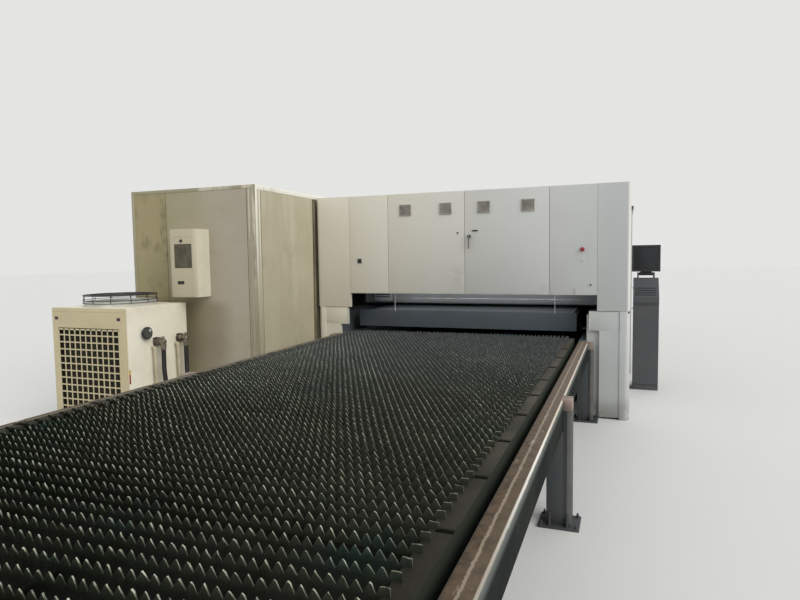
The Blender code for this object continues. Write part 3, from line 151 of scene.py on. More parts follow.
def block(corner, opposite, bevel=0.0, segments=2, name="part"):
    """A box between any two opposite corners, with its edges rounded."""
    low = Vector([min(pair) for pair in zip(corner, opposite)])
    high = Vector([max(pair) for pair in zip(corner, opposite)])
    bpy.ops.object.select_all(action="DESELECT")
    bpy.ops.mesh.primitive_cube_add(size=1, location=(low + high) / 2)
    bpy.context.active_object.scale = high - low
    piece = new_piece(name)
    if bevel:
        with editing(piece):
            bpy.ops.mesh.select_all(action="SELECT")
            bpy.ops.mesh.bevel(offset=bevel, segments=segments, affect="EDGES")
    return piece


def round_edges(piece, test, radius, segments=6):
    """Round the edges of a piece whose middle and direction pass a test."""
    with editing(piece) as shape:
        if pick(piece, shape, edges=lambda e: test((e.verts[0].co + e.verts[1].co) / 2,
                                                  (e.verts[1].co - e.verts[0].co).normalized())):
            bpy.ops.mesh.bevel(offset=radius, segments=segments, affect="EDGES")
    return piece


def drum(centre, axis, steps, sides=24):
    """A turned piece: rings of (radius, height) along an axis, each extruded from the last."""
    bpy.ops.object.select_all(action="DESELECT")
    bpy.ops.mesh.primitive_circle_add(vertices=sides, radius=steps[0][0], fill_type="NGON",
                                      location=(0, 0, steps[0][1]))
    piece = new_piece("part")
    with editing(piece):
        bpy.ops.mesh.select_all(action="SELECT")
        for (radius, height), (wider, higher) in zip(steps, steps[1:]):
            lift = {"value": (0, 0, higher - height)}
            bpy.ops.mesh.extrude_region_move(TRANSFORM_OT_translate=lift)
            factor = wider / radius
            bpy.ops.transform.resize(value=(factor, factor, 1), center_override=(0, 0, higher))
        bpy.ops.mesh.select_all(action="SELECT")
        bpy.ops.mesh.normals_make_consistent(inside=False)
    if axis == "X":
        piece.rotation_euler = (0, math.pi / 2, 0)
    if axis == "Y":
        piece.rotation_euler = (-math.pi / 2, 0, 0)
    piece.location = centre
    return settle(piece)


def ring(centre, radius, wire, sides, wire_sides=8):
    """A level ring of round wire."""
    bpy.ops.object.select_all(action="DESELECT")
    bpy.ops.mesh.primitive_torus_add(location=centre, major_radius=radius, major_segments=sides,
                                     minor_radius=wire, minor_segments=wire_sides)
    return new_piece("ring")


def line(points, radius, name, resolution):
    """A round bar or tube along points, as a curve object."""
    curve = bpy.data.curves.new(name, "CURVE")
    curve.dimensions = "3D"
    curve.bevel_depth = radius
    curve.bevel_resolution = resolution
    curve.use_fill_caps = True
    spline = curve.splines.new("POLY")
    spline.points.add(len(points) - 1)
    for point, place in zip(spline.points, points):
        point.co = (*place, 1)
    return linked(bpy.data.objects.new(name, curve))


def bar(points, radius, resolution=3):
    """A round bar or tube along points, as a mesh."""
    alone(line(points, radius, "bar", resolution))
    bpy.ops.object.convert(target="MESH")
    return bpy.context.active_object


def copied(piece, matrix):
    """A copy with its own mesh, moved or turned."""
    twin = piece.copy()
    twin.data = piece.data.copy()
    twin.data.transform(matrix)
    return linked(twin)


def row(piece, places):
    """Copies of a piece at further places, with the piece itself."""
    return [piece, *[copied(piece, Matrix.Translation(place)) for place in places]]


def joined(name, pieces):
    """Several pieces as one."""
    first = alone(pieces[0])
    for piece in pieces[1:]:
        piece.select_set(True)
    if len(pieces) > 1:
        bpy.ops.object.join()
    first.name = first.data.name = name
    return first


def applied(piece, kind, **settings):
    """Add a modifier and apply it."""
    change = piece.modifiers.new(kind.lower(), kind)
    for setting, value in settings.items():
        setattr(change, setting, value)
    alone(piece)
    bpy.ops.object.modifier_apply(modifier=change.name)
    return piece


def cut(piece, *cutters):
    """A piece with others taken out of it."""
    for cutter in cutters:
        applied(piece, "BOOLEAN", operation="DIFFERENCE", solver="EXACT", object=cutter)
        bpy.data.objects.remove(cutter, do_unlink=True)
    return piece


def warped(piece, direction, size, strength, group=""):
    """Shift a mesh along one axis by a cloud pattern of a given size."""
    clouds = bpy.data.textures.new("clouds", "CLOUDS")
    clouds.noise_scale = size
    return applied(piece, "DISPLACE", texture=clouds, direction=direction, strength=strength,
                   mid_level=0.5, texture_coords="LOCAL", vertex_group=group)


def lattice(low, high, columns, rows, bar_width, depth):
    """A plate in the XZ plane with a field of square holes."""
    low, high = Vector(low), Vector(high)
    bpy.ops.object.select_all(action="DESELECT")
    bpy.ops.mesh.primitive_grid_add(x_subdivisions=columns, y_subdivisions=rows, size=1,
                                    rotation=(math.pi / 2, 0, 0),
                                    location=((low.x + high.x) / 2, low.y, (low.z + high.z) / 2))
    bpy.context.active_object.scale = (high.x - low.x, high.z - low.z, 1)
    piece = new_piece("lattice")
    with editing(piece):
        bpy.ops.mesh.select_all(action="SELECT")
        bpy.ops.mesh.inset(thickness=bar_width / 2, depth=0, use_individual=True)
        bpy.ops.mesh.delete(type="FACE")
    return applied(piece, "SOLIDIFY", thickness=depth, offset=-1)


def louvres(low, high, count, lip=0.002, lean=0.6):
    """Slanted blades one above another, facing -Y."""
    low, high = Vector(low), Vector(high)
    pitch = (high.z - low.z) / count
    blade = block((low.x, low.y, low.z), (high.x, high.y, low.z + lip))
    with editing(blade) as shape:
        pick(blade, shape, verts=lambda v: v.co.y > (low.y + high.y) / 2)
        bpy.ops.transform.translate(value=(0, 0, pitch * lean))
    return row(blade, [(0, 0, pitch * step) for step in range(1, count)])


def finished(piece, body, stands_for):
    """Smooth a piece, attach it to its body and hide the nodes that it stands for."""
    if piece.type == "MESH":
        alone(piece)
        bpy.ops.object.shade_smooth_by_angle(angle=SMOOTH_ANGLE)
    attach(piece, body)
    if stands_for:
        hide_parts(*stands_for)
    return piece


def dress(piece, finishes, body=MACHINE, stands_for=(), name=""):
    """Finish a piece whose faces all have one finish, or which has a slot for each finish."""
    materials = piece.data.materials
    for index, finish in enumerate([finishes] if isinstance(finishes, str) else finishes):
        if index < len(materials):
            materials[index] = FINISHES[finish]
        else:
            materials.append(FINISHES[finish])
    finished(piece, body, stands_for)
    if name:
        piece.name = name


def tinted(pieces, finish):
    """Give loose parts a finish of their own before they are joined."""
    for piece in pieces:
        piece.data.materials.clear()
        piece.data.materials.append(FINISHES[finish])
    return pieces


def boxed(finish, corner, opposite, bevel=0.0, segments=2):
    """One loose box with its finish, as a list to add to others."""
    return tinted([block(corner, opposite, bevel, segments)], finish)


def turned(finish, centre, axis, steps, sides=24):
    """One loose turned part with its finish, as a list to add to others."""
    return tinted([drum(centre, axis, steps, sides)], finish)


def gathered(name, parts, body=MACHINE, stands_for=()):
    """Join parts that already have their finishes into one finished piece."""
    return finished(joined(name, parts), body, stands_for)


# Finishes

FINISHES = {}


class Wire:
    """The value of a shader socket, on which Python's operators add Math nodes."""

    def __init__(self, finish, socket):
        self.finish = finish
        self.socket = socket

    def maths(self, operation, first, second):
        return self.finish.node("ShaderNodeMath", {"operation": operation}, {0: first, 1: second})

    def __add__(self, other):
        return self.maths("ADD", self, other)

    __radd__ = __add__

    def __sub__(self, other):
        return self.maths("SUBTRACT", self, other)

    def __rsub__(self, other):
        return self.maths("SUBTRACT", other, self)

    def __mul__(self, other):
        return self.maths("MULTIPLY", self, other)

    __rmul__ = __mul__

    def __truediv__(self, other):
        return self.maths("DIVIDE", self, other)

    def __abs__(self):
        return self.maths("ABSOLUTE", self, 0)


class Finish:
    """One procedural material on the machine."""

    def __init__(self, name, roughness=0.5, metallic=0.0, **sockets):
        self.material = bpy.data.materials.new(name)
        self.material.use_nodes = True
        self.nodes = self.material.node_tree.nodes
        self.links = self.material.node_tree.links
        self.shader = self.nodes["Principled BSDF"]
        self.where = self.node("ShaderNodeTexCoord", {}, {}, "Object")
        self.set(Roughness=roughness, Metallic=metallic, **sockets)
        FINISHES[name] = self.material

    def node(self, kind, settings, sockets, output=0):
        """Add a node, set it up and then feed its sockets with values or other wires."""
        made = self.nodes.new(kind)
        for setting, value in settings.items():
            if setting == "stops":
                for _ in range(len(value) - len(made.color_ramp.elements)):
                    made.color_ramp.elements.new(0.5)
                for stop, (place, colour) in zip(made.color_ramp.elements, value):
                    stop.position, stop.color = place, colour
            else:
                setattr(made, setting, value)
        for socket, value in sockets.items():
            self.feed(made.inputs[socket], value)
        return Wire(self, made.outputs[output])

    def feed(self, socket, value):
        if isinstance(value, Wire):
            self.links.new(value.socket, socket)
        else:
            socket.default_value = value

    def set(self, **sockets):
        """Feed the shader's own sockets, named with underscores for spaces."""
        for name, value in sockets.items():
            self.feed(self.shader.inputs[name.replace("_", " ")], value)

    def axis(self, name):
        return self.node("ShaderNodeSeparateXYZ", {}, {0: self.where}, "XYZ".index(name))

    def facing(self, name):
        """How far the surface looks along an axis, from -1 to 1."""
        normal = self.node("ShaderNodeTexCoord", {}, {}, "Normal")
        return self.node("ShaderNodeSeparateXYZ", {}, {0: normal}, "XYZ".index(name))

    def noise(self, scale, detail=4.0, stretch=(1, 1, 1), offset=(0, 0, 0)):
        at = self.node("ShaderNodeMapping", {}, {"Vector": self.where, "Scale": stretch,
                                                 "Location": offset})
        return self.node("ShaderNodeTexNoise", {}, {"Vector": at, "Scale": scale, "Detail": detail,
                                                    "Roughness": 0.6})

    def mask(self, value, low, high):
        """0 below low, 1 above high and smooth between them; high may be the lower one."""
        return self.node("ShaderNodeMapRange", {"interpolation_type": "SMOOTHSTEP"},
                         {"Value": value, "From Min": low, "From Max": high})

    def band(self, value, middle, half, soft):
        """1 within a distance of a middle value and 0 beyond it."""
        return self.mask(abs(value - middle), half + soft, half)

    def mix(self, factor, first, second):
        return self.node("ShaderNodeMix", {"data_type": "RGBA"},
                         {0: factor, 6: first, 7: second}, 2)

    def bump(self, height, distance):
        return self.node("ShaderNodeBump", {}, {"Height": height, "Distance": distance,
                                                "Strength": 1.0})


def painted(name, clean, worn, patch, roughness, wear, peel=0.0004, metallic=0.0, sheen=0.5):
    """Paint that is dusty in patches and speckled with fine dirt."""
    f = Finish(name, metallic=metallic, Specular_IOR_Level=sheen)
    patches = f.mask(f.noise(patch, 6.0), 0.38, 0.68)
    specks = f.noise(70.0, 3.0)
    colour = f.mix(patches * wear, shade(*clean), shade(*worn))
    colour = f.mix(f.mask(specks, 0.6, 0.8) * 0.35, colour, shade(*worn))
    f.set(Base_Color=colour, Roughness=roughness + 0.18 * patches, Normal=f.bump(specks, peel))


def shaded_dusty_front(name, node, clean, front_dust_and_shade):
    """Cream paint, clean on the sides and top; on the front yellowish dust and painted shade; and
    darker towards the bottom.
    """
    f = Finish(name)
    y, z = f.axis("Y"), f.axis("Z")
    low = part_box(node)[0].y
    # Painted shade with dust: the front darker and yellower than the lit sides
    front = f.mask(y, low + 0.035, low + 0.012)
    colour = f.mix(front, shade(*clean), shade(*front_dust_and_shade))
    clouds = f.noise(2.2, 6.0)
    colour = f.mix(f.mask(clouds, 0.42, 0.7) * 0.25, colour, shade(*[v * 0.84 for v in front_dust_and_shade]))
    specks = f.noise(70.0, 3.0)
    colour = f.mix(f.mask(specks, 0.62, 0.8) * 0.25, colour, shade(*[v * 0.7 for v in front_dust_and_shade]))
    colour = f.mix(f.mask(z, 0.35, 0.05) * 0.35, colour, shade(*[v * 0.7 for v in front_dust_and_shade]))
    f.set(Base_Color=colour, Roughness=0.4 + 0.2 * clouds, Normal=f.bump(specks, 0.0003))


def enclosure_paint(settings):
    """Pale powder coat with dust, drip streaks, smudges at hand height and dirt at the foot, under
    a painted tint of the light, warm on the left and cooler grey on the far right, and with a
    painted highlight down the right column's rounded front corner.
    """
    f = Finish("enclosure_paint")
    paint = (*settings.paint, 1.0)
    x, y, z = f.axis("X"), f.axis("Y"), f.axis("Z")
    # Painted light: a warm tint on the left
    warm = f.mask(x, 1.6, -0.8)
    colour = f.mix(warm * 0.6, paint, shade(236, 226, 202))
    # Painted light: a cooler, greyer tint on the far right
    right = f.mask(x, 1.7, 2.4)
    colour = f.mix(right * 0.7, colour, shade(176, 180, 180))
    # Painted highlight down the rounded front corner of the right column
    near_front = f.mask(y, FRONT_Y + 0.05, FRONT_Y + 0.01)
    corner = f.mask(x, 2.455, 2.482) * near_front * f.mask(z, 0.2, 1.5)
    colour = f.mix(corner * 0.5, colour, shade(255, 252, 238))
    dust = f.mask(f.noise(0.9, 6.0), 0.42, 0.72)
    colour = f.mix(dust * 0.06, colour, shade(168, 161, 143))
    streaks = f.mask(f.noise(5.0, 4.0, (5, 5, 0.35)), 0.58, 0.76)
    colour = f.mix(streaks * 0.035, colour, shade(140, 132, 112))
    hands = f.band(z, 1.52, 0.07, 0.2) * f.band(x, MIDDLE_X + 0.3, 0.5, 0.4)
    smudge = hands * f.mask(f.noise(3.2, 5.0), 0.53, 0.7)
    colour = f.mix(smudge * 0.16, colour, shade(120, 114, 100))
    foot = f.mask(z, 0.3, 0.0) * f.mask(f.noise(4.0, 5.0), 0.35, 0.6)
    colour = f.mix(foot * 0.6, colour, shade(92, 84, 70))
    specks = f.noise(160.0, 3.0)
    colour = f.mix(f.mask(specks, 0.62, 0.8) * 0.08, colour, shade(120, 112, 95))
    f.set(Base_Color=colour, Roughness=0.42 + 0.2 * dust, Normal=f.bump(specks, 0.0002))


def slag(name, tip, body, green, gloss, edge=False):
    """Scorched steel: rusty flanks, blue-green patches, tips pale with wear and a painted
    highlight, sooty and in painted shade further down, and painted haze that pales the slats
    further off and to the right.
    """
    f = Finish(name, metallic=0.2, Specular_IOR_Level=0.12)
    x, y, z = f.axis("X"), f.axis("Y"), f.axis("Z")
    lower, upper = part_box("lower_pallet")[1].z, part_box("upper_pallet")[1].z
    on_upper = z.maths("GREATER_THAN", z, (lower + upper) / 2 - 0.04)
    below = lower + on_upper * (upper - lower) - z
    lumps = f.noise(30.0, 5.0)
    grit = f.noise(110.0, 4.0)
    wide = f.noise(0.7, 5.0)
    rust = f.mask(f.noise(3.1, 6.0), 0.42, 0.66)
    outside = y - on_upper * EXCHANGE_TRAVEL
    far = f.mask(outside, -6.0, -1.5)
    # Painted haze: the slats paler further off and towards the right
    lift = f.mask(outside + x * 0.9, -6.4, -3.2)
    haze_lit_body = shade(*[round(v * 1.6 + 24) for v in body])
    colour = f.mix(lift, f.mix(rust * 0.8, shade(*body), shade(50, 42, 24)), haze_lit_body)
    # Painted shade: greenish black on the near left
    colour = f.mix(f.mask(lift, 0.6, 0.0) * 0.65, colour, shade(8, 30, 5))
    patch = f.mask(f.noise(0.8, 5.0, offset=(3.1, 1.7, 0.4)), 0.54, 0.66)
    colour = f.mix(patch * green, colour, shade(30, 62, 58))
    # Tips pale with wear and with a painted highlight, strongest on edges that face +X
    worn = f.mask(below + (lumps - 0.5) * 0.04, 0.02 + 0.01 * far, 0.0)
    tip_wear_and_highlight = f.mix(patch * green, shade(*tip), shade(92, 118, 108))
    bright = f.mask(f.noise(11.0, 4.0, offset=(0.7, 2.3, 0.1)), 0.34, 0.62)
    flank = f.mask(f.facing("X"), -0.2, 0.5) if edge else 0.7
    wear_and_highlight_share = (0.3 + 0.62 * bright - 0.2 * lift + 0.1 * far) * (0.3 + 0.7 * flank)
    colour = f.mix(worn * wear_and_highlight_share, colour, tip_wear_and_highlight)
    # Darker further down the slats: sooty, and painted shade between them
    soot_and_shade = f.mask(below + (lumps - 0.5) * 0.03, 0.012, 0.045)
    colour = f.mix(soot_and_shade * (0.95 - 0.55 * lift), colour, shade(10, 11, 7))
    colour = f.mix(f.mask(wide, 0.42, 0.62) * 0.3, colour, shade(24, 24, 20))
    # Painted haze: pale blue-grey further off
    colour = f.mix(f.mask(outside, -4.6, -1.4) * 0.4, colour, shade(114, 118, 122))
    # Painted light: the upper pallet's slats pale blue-grey towards the doorway
    colour = f.mix(on_upper * f.mask(y, 1.2, -0.1) * 0.7, colour, shade(140, 148, 154))
    f.set(Base_Color=colour, Roughness=gloss + 0.35 * grit,
          Normal=f.bump(lumps + grit * 0.3, 0.004))


def slat_steel():
    """The slats' faces and their cut edges, paler with worn metal and a painted highlight."""
    slag("slat_steel", (68, 72, 60), (26, 28, 21), 0.6, 0.5)
    slag("slat_edge", (204, 210, 188), (60, 62, 50), 0.4, 0.36, edge=True)


def pallet_steel():
    """The pallets' frames: paler olive far from the loading end and dark near it, with painted
    light on the outer flank.
    """
    f = Finish("pallet_frame", Specular_IOR_Level=0.08)
    far = f.mask(f.axis("Y"), -7.0, -2.6)
    patches = f.mask(f.noise(3.0, 6.0), 0.4, 0.66)
    colour = f.mix(far, shade(30, 29, 21), shade(84, 81, 72))
    colour = f.mix(patches * 0.5, colour, shade(30, 28, 22))
    fine = f.noise(60.0, 4.0)
    colour = f.mix(f.mask(fine, 0.58, 0.76) * 0.3, colour, shade(98, 90, 74))
    brim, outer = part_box("lower_pallet")[0].x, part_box("lower_pallet")[1].x
    # Painted light: the outer flank lightened
    flank = f.mask(f.axis("X"), outer - 0.0028, outer - 0.001)
    colour = f.mix(flank * 0.8, colour, shade(44, 50, 42))
    edge = f.mask(f.axis("X"), brim + 0.022, brim + 0.01)
    colour = f.mix(edge * 0.75, colour, shade(150, 143, 122))
    f.set(Base_Color=colour, Roughness=0.55 + 0.2 * fine, Normal=f.bump(fine, 0.002))


def rail_steel():
    """Primed beams: a ragged paint line on top, a rubbed outer edge with a painted highlight and
    glint, and dark flanks with painted light near their top.
    """
    low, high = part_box("rail_beam_right")
    middle = (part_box("rail_beam_left")[0].x + high.x) / 2
    f = Finish("rail_steel", Specular_IOR_Level=0.0)
    x, y, z = f.axis("X"), f.axis("Y"), f.axis("Z")
    from_inside = abs(x - middle) - (low.x - middle)
    ragged = f.noise(16.0, 5.0)
    fine = f.noise(90.0, 4.0)
    primer = f.mix(f.mask(ragged, 0.4, 0.65), shade(104, 89, 74), shade(84, 73, 62))
    outer_half = f.mask(from_inside + ragged * 0.008, 0.055, 0.058)
    primer = f.mix(outer_half * 0.3, primer, shade(112, 102, 88))
    primer = f.mix(f.mask(y, -5.8, -2.4) * 0.4, primer, shade(150, 138, 130))
    torn = f.noise(55.0, 5.0)
    line = f.band(from_inside + (ragged + torn - 1.0) * 0.012, 0.049, 0.0028, 0.0045)
    primer = f.mix(line * (0.35 + 0.35 * torn), primer, shade(186, 173, 152))
    flank = f.mix(f.mask(f.noise(2.0, 6.0), 0.4, 0.65), shade(46, 49, 48), shade(56, 57, 54))
    # Painted light: the flanks lighter towards their top
    lit = f.mask(z, high.z - 0.065, high.z - 0.016)
    flank = f.mix(lit * 0.85, flank, shade(112, 117, 114))
    top = f.mask(z, high.z - 0.006, high.z - 0.001)
    colour = f.mix(top, flank, primer)
    # Painted highlight on the rubbed outer edge, stronger further off
    near = 0.45 + 0.55 * f.mask(y, -6.0, -3.9)
    edge = (f.band(from_inside + ragged * 0.003, 0.0985, 0.002, 0.004)
            * f.mask(z, high.z - 0.022, high.z - 0.01) * near)
    inner = f.mask(from_inside, 0.007, 0.002) * top * 0.5
    scuffs = f.mask(f.noise(30.0, 6.0, (1, 0.25, 1)), 0.6, 0.72) * top * 0.2
    bright = edge.maths("MAXIMUM", edge, inner)
    bright = bright.maths("MAXIMUM", bright, scuffs)
    # Painted glint on the outer edge near y = -4.9
    rubbed = f.mix(f.band(y, -4.9, 0.2, 0.7), shade(222, 210, 194), shade(255, 250, 240))
    colour = f.mix(bright, colour, rubbed)
    f.set(Base_Color=colour, Metallic=0.35 * bright, Roughness=0.5 - 0.18 * bright,
          Normal=f.bump(fine, 0.0006))


def room_panel(settings):
    """Insulated panels: olive dust and stains on the front, paler streaks on the right face."""
    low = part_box("room_shell")[0]
    f = Finish("room_panel")
    x, y, z = f.axis("X"), f.axis("Y"), f.axis("Z")
    front = f.mask(y, low.y + 0.06, low.y + 0.04)
    outer = f.mask(x, spot(-2.94, 0, 0).x, spot(-2.97, 0, 0).x)
    clouds = f.noise(1.3, 6.0)
    streaks = f.noise(3.4, 5.0, (1, 1, 0.16))
    colour = f.mix(f.mask(clouds, 0.36, 0.7) * 0.5, (*settings.panel, 1.0),
                   shade(176, 167, 138))
    colour = f.mix(f.mask(streaks, 0.46, 0.68) * 0.4, colour, shade(214, 208, 188))
    colour = f.mix(f.mask(z, 0.8, 0.1) * 0.35, colour, shade(206, 202, 186))
    leftward = f.mask(x, spot(-2.1, 0, 0).x, spot(-3.0, 0, 0).x)
    dull = f.mix(leftward, shade(176, 167, 150), shade(160, 154, 122))
    dull = f.mix(outer, dull, shade(158, 146, 106))
    dull = f.mix(f.mask(clouds, 0.4, 0.66) * 0.3, dull, shade(140, 130, 98))
    colour = f.mix(front * 0.94, colour, dull)
    spots = f.mask(f.noise(5.5, 6.0, (1, 1, 0.7), offset=(1.3, 0, 0.2)), 0.52, 0.68)
    colour = f.mix(spots * front * outer * 0.5, colour, shade(92, 82, 52))
    behind_chiller = f.mask(z, 1.34, 1.2) * f.mask(z, 0.2, 0.9) * front
    shadow = f.band(x, spot(-2.7, 0, 0).x, 0.34, 0.3) * behind_chiller
    colour = f.mix(shadow * 0.4, colour, shade(104, 84, 54))
    smudge = f.mask(f.noise(1.9, 4.0, offset=(0.4, 0.2, 0.9)), 0.56, 0.7)
    colour = f.mix(smudge * 0.22, colour, shade(126, 116, 88))
    f.set(Base_Color=colour, Roughness=0.5 + 0.15 * clouds,
          Normal=f.bump(f.noise(40.0, 2.0), 0.0004))


def trim_aluminium():
    """The room's angles: dust on the front, and on the other sides paler towards the top."""
    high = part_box("room_shell")[1]
    front_y = spot(0, ROOM_FRONT, 0).y
    f = Finish("aluminium", roughness=0.4, Specular_IOR_Level=0.3)
    x, y, z = f.axis("X"), f.axis("Y"), f.axis("Z")
    cloud = f.noise(5.0, 5.0, (1, 1, 0.3))
    # Paler towards the top
    clean = f.mix(f.mask(z, high.z - 1.6, high.z - 0.1), shade(176, 170, 148),
                  shade(244, 241, 228))
    front = f.mask(y, front_y + 0.0005, front_y - 0.0015)
    rubbed = f.mask(cloud, 0.42, 0.6) * f.mask(z, 1.0, 1.8)
    corner = f.mask(x, high.x - 0.75, high.x - 0.7) * rubbed
    colour = f.mix(front, clean, f.mix(corner * 0.7, shade(160, 153, 126), shade(226, 221, 202)))
    colour = f.mix(f.mask(cloud, 0.5, 0.7) * 0.3, colour, shade(140, 132, 108))
    f.set(Base_Color=colour)


# Plain paints: the clean and the worn colour, the size of patches, roughness and wear
PAINTS = {
    "soft_seam": ((118, 110, 84), (86, 78, 56), 3.0, 0.6, 0.8),
    "seam_shadow": ((38, 38, 36), (54, 50, 44), 1.1, 0.7, 0.5),
    "end_plate": ((88, 98, 106), (92, 94, 94), 2.0, 0.6, 0.5),
    "liner": ((176, 184, 188), (140, 142, 138), 1.6, 0.5, 0.5),
    "vent_grey": ((178, 173, 164), (134, 129, 119), 9.0, 0.55, 0.7),
    "post_paint": ((56, 63, 66), (74, 72, 66), 2.4, 0.5, 0.5),
    "post_flange": ((112, 110, 106), (90, 88, 84), 5.0, 0.5, 0.7),
    "post_cap": ((156, 138, 128), (112, 98, 90), 7.0, 0.5, 0.8),
    "bed_paint": ((92, 102, 108), (100, 96, 88), 1.4, 0.5, 0.6),
    "gantry_paint": ((158, 166, 172), (150, 144, 136), 1.8, 0.42, 0.5),
    "bellows": ((34, 34, 34), (58, 54, 48), 6.0, 0.7, 0.6),
    "cooler_mesh": ((112, 106, 88), (84, 78, 62), 8.0, 0.6, 0.7),
    "white_ring": ((206, 206, 200), (160, 156, 144), 5.0, 0.45, 0.5),
    # Painted shade behind the grilles and in the fan's well
    "duct_shade": ((24, 22, 8), (40, 34, 16), 4.0, 0.8, 0.6),
    "beige_pipe": ((196, 186, 158), (150, 140, 116), 8.0, 0.45, 0.5),
    "hose_rubber": ((26, 26, 27), (52, 50, 46), 9.0, 0.55, 0.4),
    "black_wire": ((28, 28, 28), (50, 48, 44), 8.0, 0.5, 0.5),
    "handle_grey": ((116, 113, 104), (92, 90, 82), 20.0, 0.4, 0.5),
    "red_plastic": ((150, 40, 40), (112, 38, 36), 30.0, 0.35, 0.4),
    "yellow_paint": ((212, 172, 52), (150, 122, 50), 12.0, 0.45, 0.5),
    "console_paint": ((70, 74, 78), (92, 88, 80), 2.6, 0.42, 0.4),
    "source_paint": ((188, 190, 190), (160, 158, 150), 2.0, 0.4, 0.3),
}


def mix_finishes(scene):
    """Make every material on the machine."""
    enclosure_paint(scene.cutter_enclosure)
    slat_steel()
    pallet_steel()
    rail_steel()
    room_panel(scene.cutter_room)
    trim_aluminium()
    for name, paint in PAINTS.items():
        painted(name, *paint)
    # Painted shadow for the gap between the room and the enclosure
    painted("gap_shadow", (122, 112, 92), (92, 84, 68), 3.0, 0.7, 0.9, sheen=0.2)
    # Dark finish for sooty cross beams, and painted shade in notches and on the columns' inner
    # sides
    painted("soot_and_shade", (16, 17, 12), (9, 9, 7), 5.0, 0.85, 0.8, peel=0.002, sheen=0.05)
    painted("black_plastic", (30, 30, 32), (46, 45, 43), 10.0, 0.42, 0.4, peel=0.0002)
    painted("gauge_face", (84, 84, 80), (60, 60, 58), 20.0, 0.15, 0.6, peel=0.0)
    painted("wheel_steel", (150, 148, 142), (98, 88, 74), 12.0, 0.34, 0.7, metallic=0.8)
    painted("port_steel", (150, 142, 126), (74, 64, 52), 26.0, 0.34, 0.9, metallic=0.6)
    painted("bright_steel", (196, 194, 188), (150, 146, 138), 14.0, 0.3, 0.5, metallic=0.85)
    painted("head_aluminium", (190, 191, 194), (150, 150, 150), 14.0, 0.3, 0.3, metallic=0.8)
    painted("track_steel", (96, 82, 70), (62, 54, 46), 3.0, 0.5, 0.7, metallic=0.3)
    painted("screen_glass", (20, 24, 30), (34, 38, 44), 3.0, 0.12, 0.3, peel=0.0)
    shaded_dusty_front("cooler_paint", "air_conditioner", (226, 220, 198), (196, 185, 158))
    shaded_dusty_front("chiller_paint", "chiller_body", (244, 238, 218), (198, 185, 148))
    glass = Finish("window_glass", roughness=0.08, Alpha=0.75)
    glass.set(Base_Color=glass.mix(glass.mask(glass.noise(3.0, 4.0), 0.4, 0.7) * 0.4,
                                   shade(46, 110, 40), shade(80, 130, 66)))


# The machine's pieces


def toothed_slat(low, high, valley, settings):
    """One slat along X: a strip whose top edge is a row of blunt teeth between two square tabs."""
    columns = 4 * round((high.x - low.x) / settings.tooth_pitch)
    bpy.ops.object.select_all(action="DESELECT")
    bpy.ops.mesh.primitive_grid_add(x_subdivisions=columns, y_subdivisions=1, size=1,
                                    rotation=(math.pi / 2, 0, 0),
                                    location=((low.x + high.x) / 2, low.y, (low.z + valley) / 2))
    bpy.context.active_object.scale = (high.x - low.x, valley - low.z, 1)
    slat = new_piece("slat")
    width = (high.x - low.x) / columns
    tooth = high.z - valley

    def column(v):
        return round((v.co.x - low.x) / width)

    def part_of_tooth(v):
        return column(v) % 4 if 4 <= column(v) <= columns - 4 else None

    with editing(slat) as shape:
        top = [v for v in shape.verts if v.co.z > valley - 0.001]
        groups = {part: {v.index for v in top if part_of_tooth(v) == part} for part in (1, 2, 3)}
        tabs = {v.index for v in top if not 4 <= column(v) <= columns - 4}
        left = {v.index for v in top if 4 < column(v) < 17}
        for part, lift, lean in ((1, 0.8, 0.45), (2, 1.0, 0.0), (3, 0.8, -0.45)):
            pick(slat, shape, verts=lambda v: v.index in groups[part])
            bpy.ops.transform.translate(value=(lean * width, 0, tooth * lift))
        pick(slat, shape, verts=lambda v: v.index in tabs)
        bpy.ops.transform.translate(value=(0, 0, tooth * 0.75))
        pick(slat, shape, verts=lambda v: v.index in left or v.index in tabs and column(v) < 4)
        bpy.ops.transform.resize(value=(1, 1, 0.45), center_override=(0, 0, valley))
    tips = slat.vertex_groups.new(name="tips")
    tips.add([v.index for v in slat.data.vertices if v.co.z > valley - 0.001], 1.0, "REPLACE")
    slat.data.materials.append(FINISHES["slat_steel"])
    slat.data.materials.append(FINISHES["slat_edge"])
    return applied(slat, "SOLIDIFY", thickness=settings.slat_thickness, offset=0,
                   material_offset_rim=1)


def build_slats(node, left, right, settings, ragged=True):
    """A pallet's row of slats between its two sides, bent by heat and with shifted tips."""
    low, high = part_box(node)
    first, last = low.y + settings.beam_width / 2, high.y - settings.beam_width / 2
    count = round((last - first) / settings.slat_pitch) + 1
    step = (last - first) / (count - 1)
    slat = toothed_slat(Vector((left + settings.slat_inset, first, high.z - settings.slat_height)),
                        Vector((right - settings.slat_inset, first, high.z)),
                        high.z - settings.tooth_height, settings)
    slats = joined(f"{node}_slats", row(slat, [(0, step * i, 0) for i in range(1, count)]))
    warped(slats, "Y", 0.45, settings.slat_bend)
    warped(slats, "Z", 0.031, settings.tip_wear, "tips")
    if ragged:
        warped(slats, "X", 0.023, settings.tip_wear * 0.8, "tips")
        warped(slats, "Y", 0.019, settings.tip_wear, "tips")
    dress(slats, ("slat_steel", "slat_edge"), node, [node])


